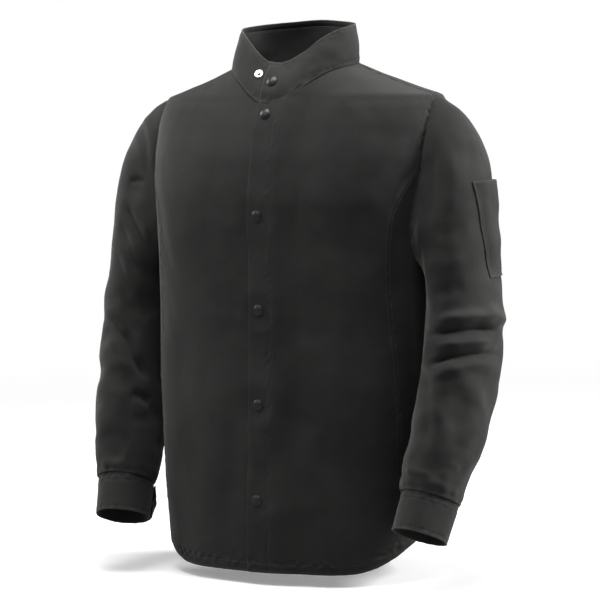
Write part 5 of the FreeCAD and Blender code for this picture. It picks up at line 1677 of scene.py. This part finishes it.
def sleeve_pocket(outer, normals):
    """Patch pocket on the left upper arm, lying on the sleeve."""
    top, bottom = 571.0, 437.0
    heights = np.r_[np.linspace(top, 560.0, 8), np.linspace(560, 446, 44)[1:],
                    np.linspace(446.0, bottom, 6)[1:]]
    shares = np.linspace(0.0, 1.0, 46)
    angles = angle_between(SLEEVE_ANGLES, 0.0)
    order = np.argsort(angles)
    # follow each line of the sleeve down to the wanted heights, then read across them
    lines = np.zeros((2, len(angles), len(heights), 3))
    for i in range(len(angles)):
        count = int(np.argmax(outer[i, :, 2] < SLEEVE_TOP))
        rising_z = outer[i, :count, 2][::-1]
        for k, source in enumerate((outer, normals)):
            lines[k, i] = interp_vectors(heights, rising_z, source[i, :count][::-1])
    patch = np.zeros((2, len(shares), len(heights), 3))
    for j, z in enumerate(heights):
        front_angle = mix(10.0, 23.0, (z - bottom) / (top - bottom))
        for k in (0, 1):
            patch[k, :, j] = interp_vectors(mix(-55.0, front_angle, shares), angles[order],
                                            lines[k, order, j])
    base, outward = patch[0], unit(patch[1])
    from_first, from_last, from_mouth, from_bottom = edge_distances(base)
    from_side = np.minimum(from_first, from_last)
    edge = np.minimum(from_side, from_bottom)
    puff = 2.2 * smooth((np.minimum(edge, 24.0)) / 24.0)
    gape = 1.6 * bell(from_mouth, 16.0) * smooth(from_side / 20.0)
    middle = base + outward * (1.35 + puff + gape)[..., None]
    relief = sunk_row(edge, 2.2, 0.4) + sunk_row(edge, 8.0, 0.4)
    relief += sunk_row(from_mouth, 19.0, 0.35) + 0.35 * (1 - smooth((from_mouth - 20.0) / 1.6))
    relief += pucker(middle, edge, 91, 0.25, 8)
    piece = Piece()
    surface = sheet(piece, middle, outward, 0.75 + relief, 0.75 + 0.3 * (1 - smooth(edge / 4.0)),
                    wear=0.5 * bell(edge, 2.2) + 0.5 * bell(from_mouth, 2.2))
    for distance in (2.2, 8.0):
        stitch_rows(piece, surface, 0, (distance,), ends=(False, True), keep=slice(1, None))
        stitch_rows(piece, surface, 1, (distance,), ends=(True,), keep=slice(1, -1))
    stitch_rows(piece, surface, 1, (19.0,))
    made = piece.build("left_sleeve_pocket_cloth", (SHELL, THREAD), "shell_cloth",
                       "left_sleeve_pocket")
    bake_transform(made)


left_sleeve, _ = [sleeve(tag, side) for tag, side in SIDES]
sleeve_pocket(*left_sleeve)


# ---------------------------------------------------------------------------
# Cuffs and their tabs
# ---------------------------------------------------------------------------
def cuff(tag, side):
    angles = (np.arange(108) * 360.0 / 108)[:, None]
    downs = np.r_[-6.0, -3.0, stations(CUFF_H, 1.3, 2.4, band=11.0) * CUFF_H][None]
    turn = np.radians(angles)
    normals = cuff_normal(angles, downs)
    height = (0.45 * np.cos(3 * turn + 1.0 + 0.04 * downs)
              + 0.30 * np.cos(5 * turn + 2.2 - 0.05 * downs))
    height = height * smooth(np.abs(angle_between(angles, 246.0)) / 60.0 - 0.4)
    points = on_side(cuff_at(angles, downs) + normals * height[..., None], side)
    from_top = downs + 0 * turn
    from_bottom = CUFF_H - from_top
    relief = sunk_row(from_bottom, 4.0, 0.4)
    relief += sunk_row(from_top, 2.5, 0.45) + sunk_row(from_top, 8.5, 0.45)
    relief += pucker(points, from_top - 5.0, 95 + side, 0.3, 8)
    relief += pucker(points, from_bottom, 97 + side, 0.25, 7)
    piece = Piece()
    surface = sheet(piece, points, on_side(normals, side), CUFF_T / 2 + relief, CUFF_T / 2,
                    closed=True, wear=0.6 * bell(from_bottom, 2.2))
    stitch_rows(piece, surface, 1, (8.5, 14.5), closed=True)
    stitch_rows(piece, surface, 1, (4.0,), ends=(True,), closed=True)
    made = piece.build(f"{tag}_cuff_cloth", (SHELL, THREAD), "shell_cloth", f"{tag}_cuff")
    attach(made, f"{tag}_forearm")


def cuff_tab(tag, side):
    """Tab over the cuff, lifted where the snap holds it."""
    angles, downs = np.meshgrid(np.linspace(TAB_ROOT, TAB_END, 58), np.linspace(2.0, 50.0, 30),
                                indexing="ij")
    normals = cuff_normal(angles, downs)
    from_snap = np.hypot((angles - TAB_SNAP) * math.pi / 180 * 41.0, downs - TAB_SNAP_H)
    height = TAB_LOW + 0.15 + (TAB_HIGH - TAB_LOW - 0.15) * smooth((27.0 - from_snap) / 17.0)
    height = height + 0.7 * smooth((TAB_SNAP - 6 - angles) / 12.0)
    points = on_side(cuff_at(angles, downs) + normals * height[..., None], side)
    from_root, from_end, from_top, from_bottom = edge_distances(points)
    edge = np.minimum(np.minimum(from_top, from_bottom), from_end)
    relief = sunk_row(edge, 3.5, 0.4) + sunk_row(from_root, 3.0, 0.4)
    relief += pucker(points, edge, 101 + side, 0.16, 6)
    piece = Piece()
    surface = sheet(piece, points, on_side(normals, side), TAB_T / 2 + relief, TAB_T / 2,
                    wear=0.6 * bell(edge, 2.2))
    stitch_rows(piece, surface, 0, (3.5,), ends=(True,), keep=slice(2, -2))
    stitch_rows(piece, surface, 0, (3.0,), keep=slice(2, -2))
    stitch_rows(piece, surface, 1, (3.5,), ends=(False, True), keep=slice(None, -2))
    made = piece.build(f"{tag}_cuff_tab_cloth", (SHELL, THREAD), "shell_cloth",
                       f"{tag}_cuff_tab")
    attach(made, f"{tag}_cuff_closure")


for tag, side in SIDES:
    cuff(tag, side)
    cuff_tab(tag, side)

# ---------------------------------------------------------------------------
# Snaps: the solids of the frame that still show, given their metals
# ---------------------------------------------------------------------------
for name, solid in frame["nodes"].items():
    if solid.hide_render:
        continue
    if "cap" in name and "snap" in name:
        material, slot = LACQUER, "snap_caps"
    elif "spare" in name:
        material, slot = NICKEL, "bright_stud"
    else:
        material, slot = DULL_NICKEL, "snap_metal"
    solid.data.materials.clear()
    solid.data.materials.append(material)


# ---------------------------------------------------------------------------
# Floor, world, lights and camera, in metres
# ---------------------------------------------------------------------------
def floor_material():
    """Pale to the camera, darker to the light it throws back, fading out with distance."""
    material, tree, shader = new_material("pale_floor")
    coords = add_node(tree, "ShaderNodeTexCoord").outputs["Object"]
    distance = add_node(tree, "ShaderNodeVectorMath", {0: coords}, operation="LENGTH")
    fade = map_range(tree, distance.outputs["Value"], {"From Min": 0.75, "From Max": 3.2},
                     interpolation_type="SMOOTHSTEP")
    camera_ray = add_node(tree, "ShaderNodeLightPath").outputs["Is Camera Ray"]
    pale, dark = (0.93, 0.93, 0.93, 1), (0.30, 0.30, 0.30, 1)
    shader.inputs["Base Color"].default_value = pale
    set_inputs(tree, shader, {
        "Roughness": 0.9,
        "Specular IOR Level": 0.1,
        "Base Color": mix_colour(tree, camera_ray, dark, pale),
        "Emission Color": (1, 1, 1, 1),
        "Emission Strength": calc(tree, "MULTIPLY", camera_ray, 0.25),
    })
    clear = add_node(tree, "ShaderNodeBsdfTransparent")
    faded = add_node(tree, "ShaderNodeMixShader",
                     {0: fade, 1: shader.outputs[0], 2: clear.outputs[0]})
    tree.links.new(faded.outputs[0], tree.nodes["Material Output"].inputs["Surface"])
    return material


bpy.ops.mesh.primitive_circle_add(vertices=96, radius=14.0, fill_type="NGON",
                                  location=(0, 0, -0.002))
floor = bpy.context.object
floor.name = "floor"
floor.data.materials.append(floor_material())

scene = bpy.context.scene
scene.view_settings.view_transform = "Standard"
scene.view_settings.look = "None"
scene.view_settings.exposure = 0.0


def studio_world():
    """White to the camera, dim as a light."""
    world = bpy.data.worlds.new("studio")
    scene.world = world
    world.use_nodes = True
    tree = world.node_tree
    camera_ray = add_node(tree, "ShaderNodeLightPath").outputs["Is Camera Ray"]
    strength = map_range(tree, camera_ray, {"To Min": 0.15, "To Max": 1.0})
    set_inputs(tree, tree.nodes["Background"], {"Color": (1, 1, 1, 1), "Strength": strength})


def area_light(name, location, aim, size, power):
    light = bpy.data.lights.new(name, "AREA")
    light.energy = power
    light.size = size
    made = bpy.data.objects.new(name, light)
    scene.collection.objects.link(made)
    made.location = location
    direction = Vector(aim) - Vector(location)
    made.rotation_euler = direction.to_track_quat("-Z", "Y").to_euler()


def view_camera():
    camera = bpy.data.cameras.new("camera")
    made = bpy.data.objects.new("camera", camera)
    scene.collection.objects.link(made)
    camera.sensor_width = 36.0
    camera.lens = VIEW_DISTANCE * 36.0 / VIEW_WIDTH
    camera.shift_y = VIEW_RISE / VIEW_WIDTH
    camera.clip_start, camera.clip_end = 0.1, 60.0
    place = (AIM + SHIFT - FORWARD * VIEW_DISTANCE) / 1000.0
    rows = [(VIEW_RIGHT[i], VIEW_UP[i], -FORWARD[i], place[i]) for i in range(3)]
    made.matrix_world = Matrix((*rows, (0, 0, 0, 1)))
    scene.camera = made


studio_world()
area_light("top", location=(-0.1, -0.5, 2.7), aim=(0, 0, 0.6), size=1.5, power=60)
area_light("right_back", location=(2.5, 1.2, 2.0), aim=(0.1, 0, 0.55), size=1.1, power=118)
area_light("front_high", location=(-0.6, -2.9, 2.4), aim=(0, 0, 0.6), size=1.2, power=9)
area_light("left_back", location=(-2.5, -0.5, 1.9), aim=(-0.1, 0, 0.55), size=1.1, power=34)
view_camera()
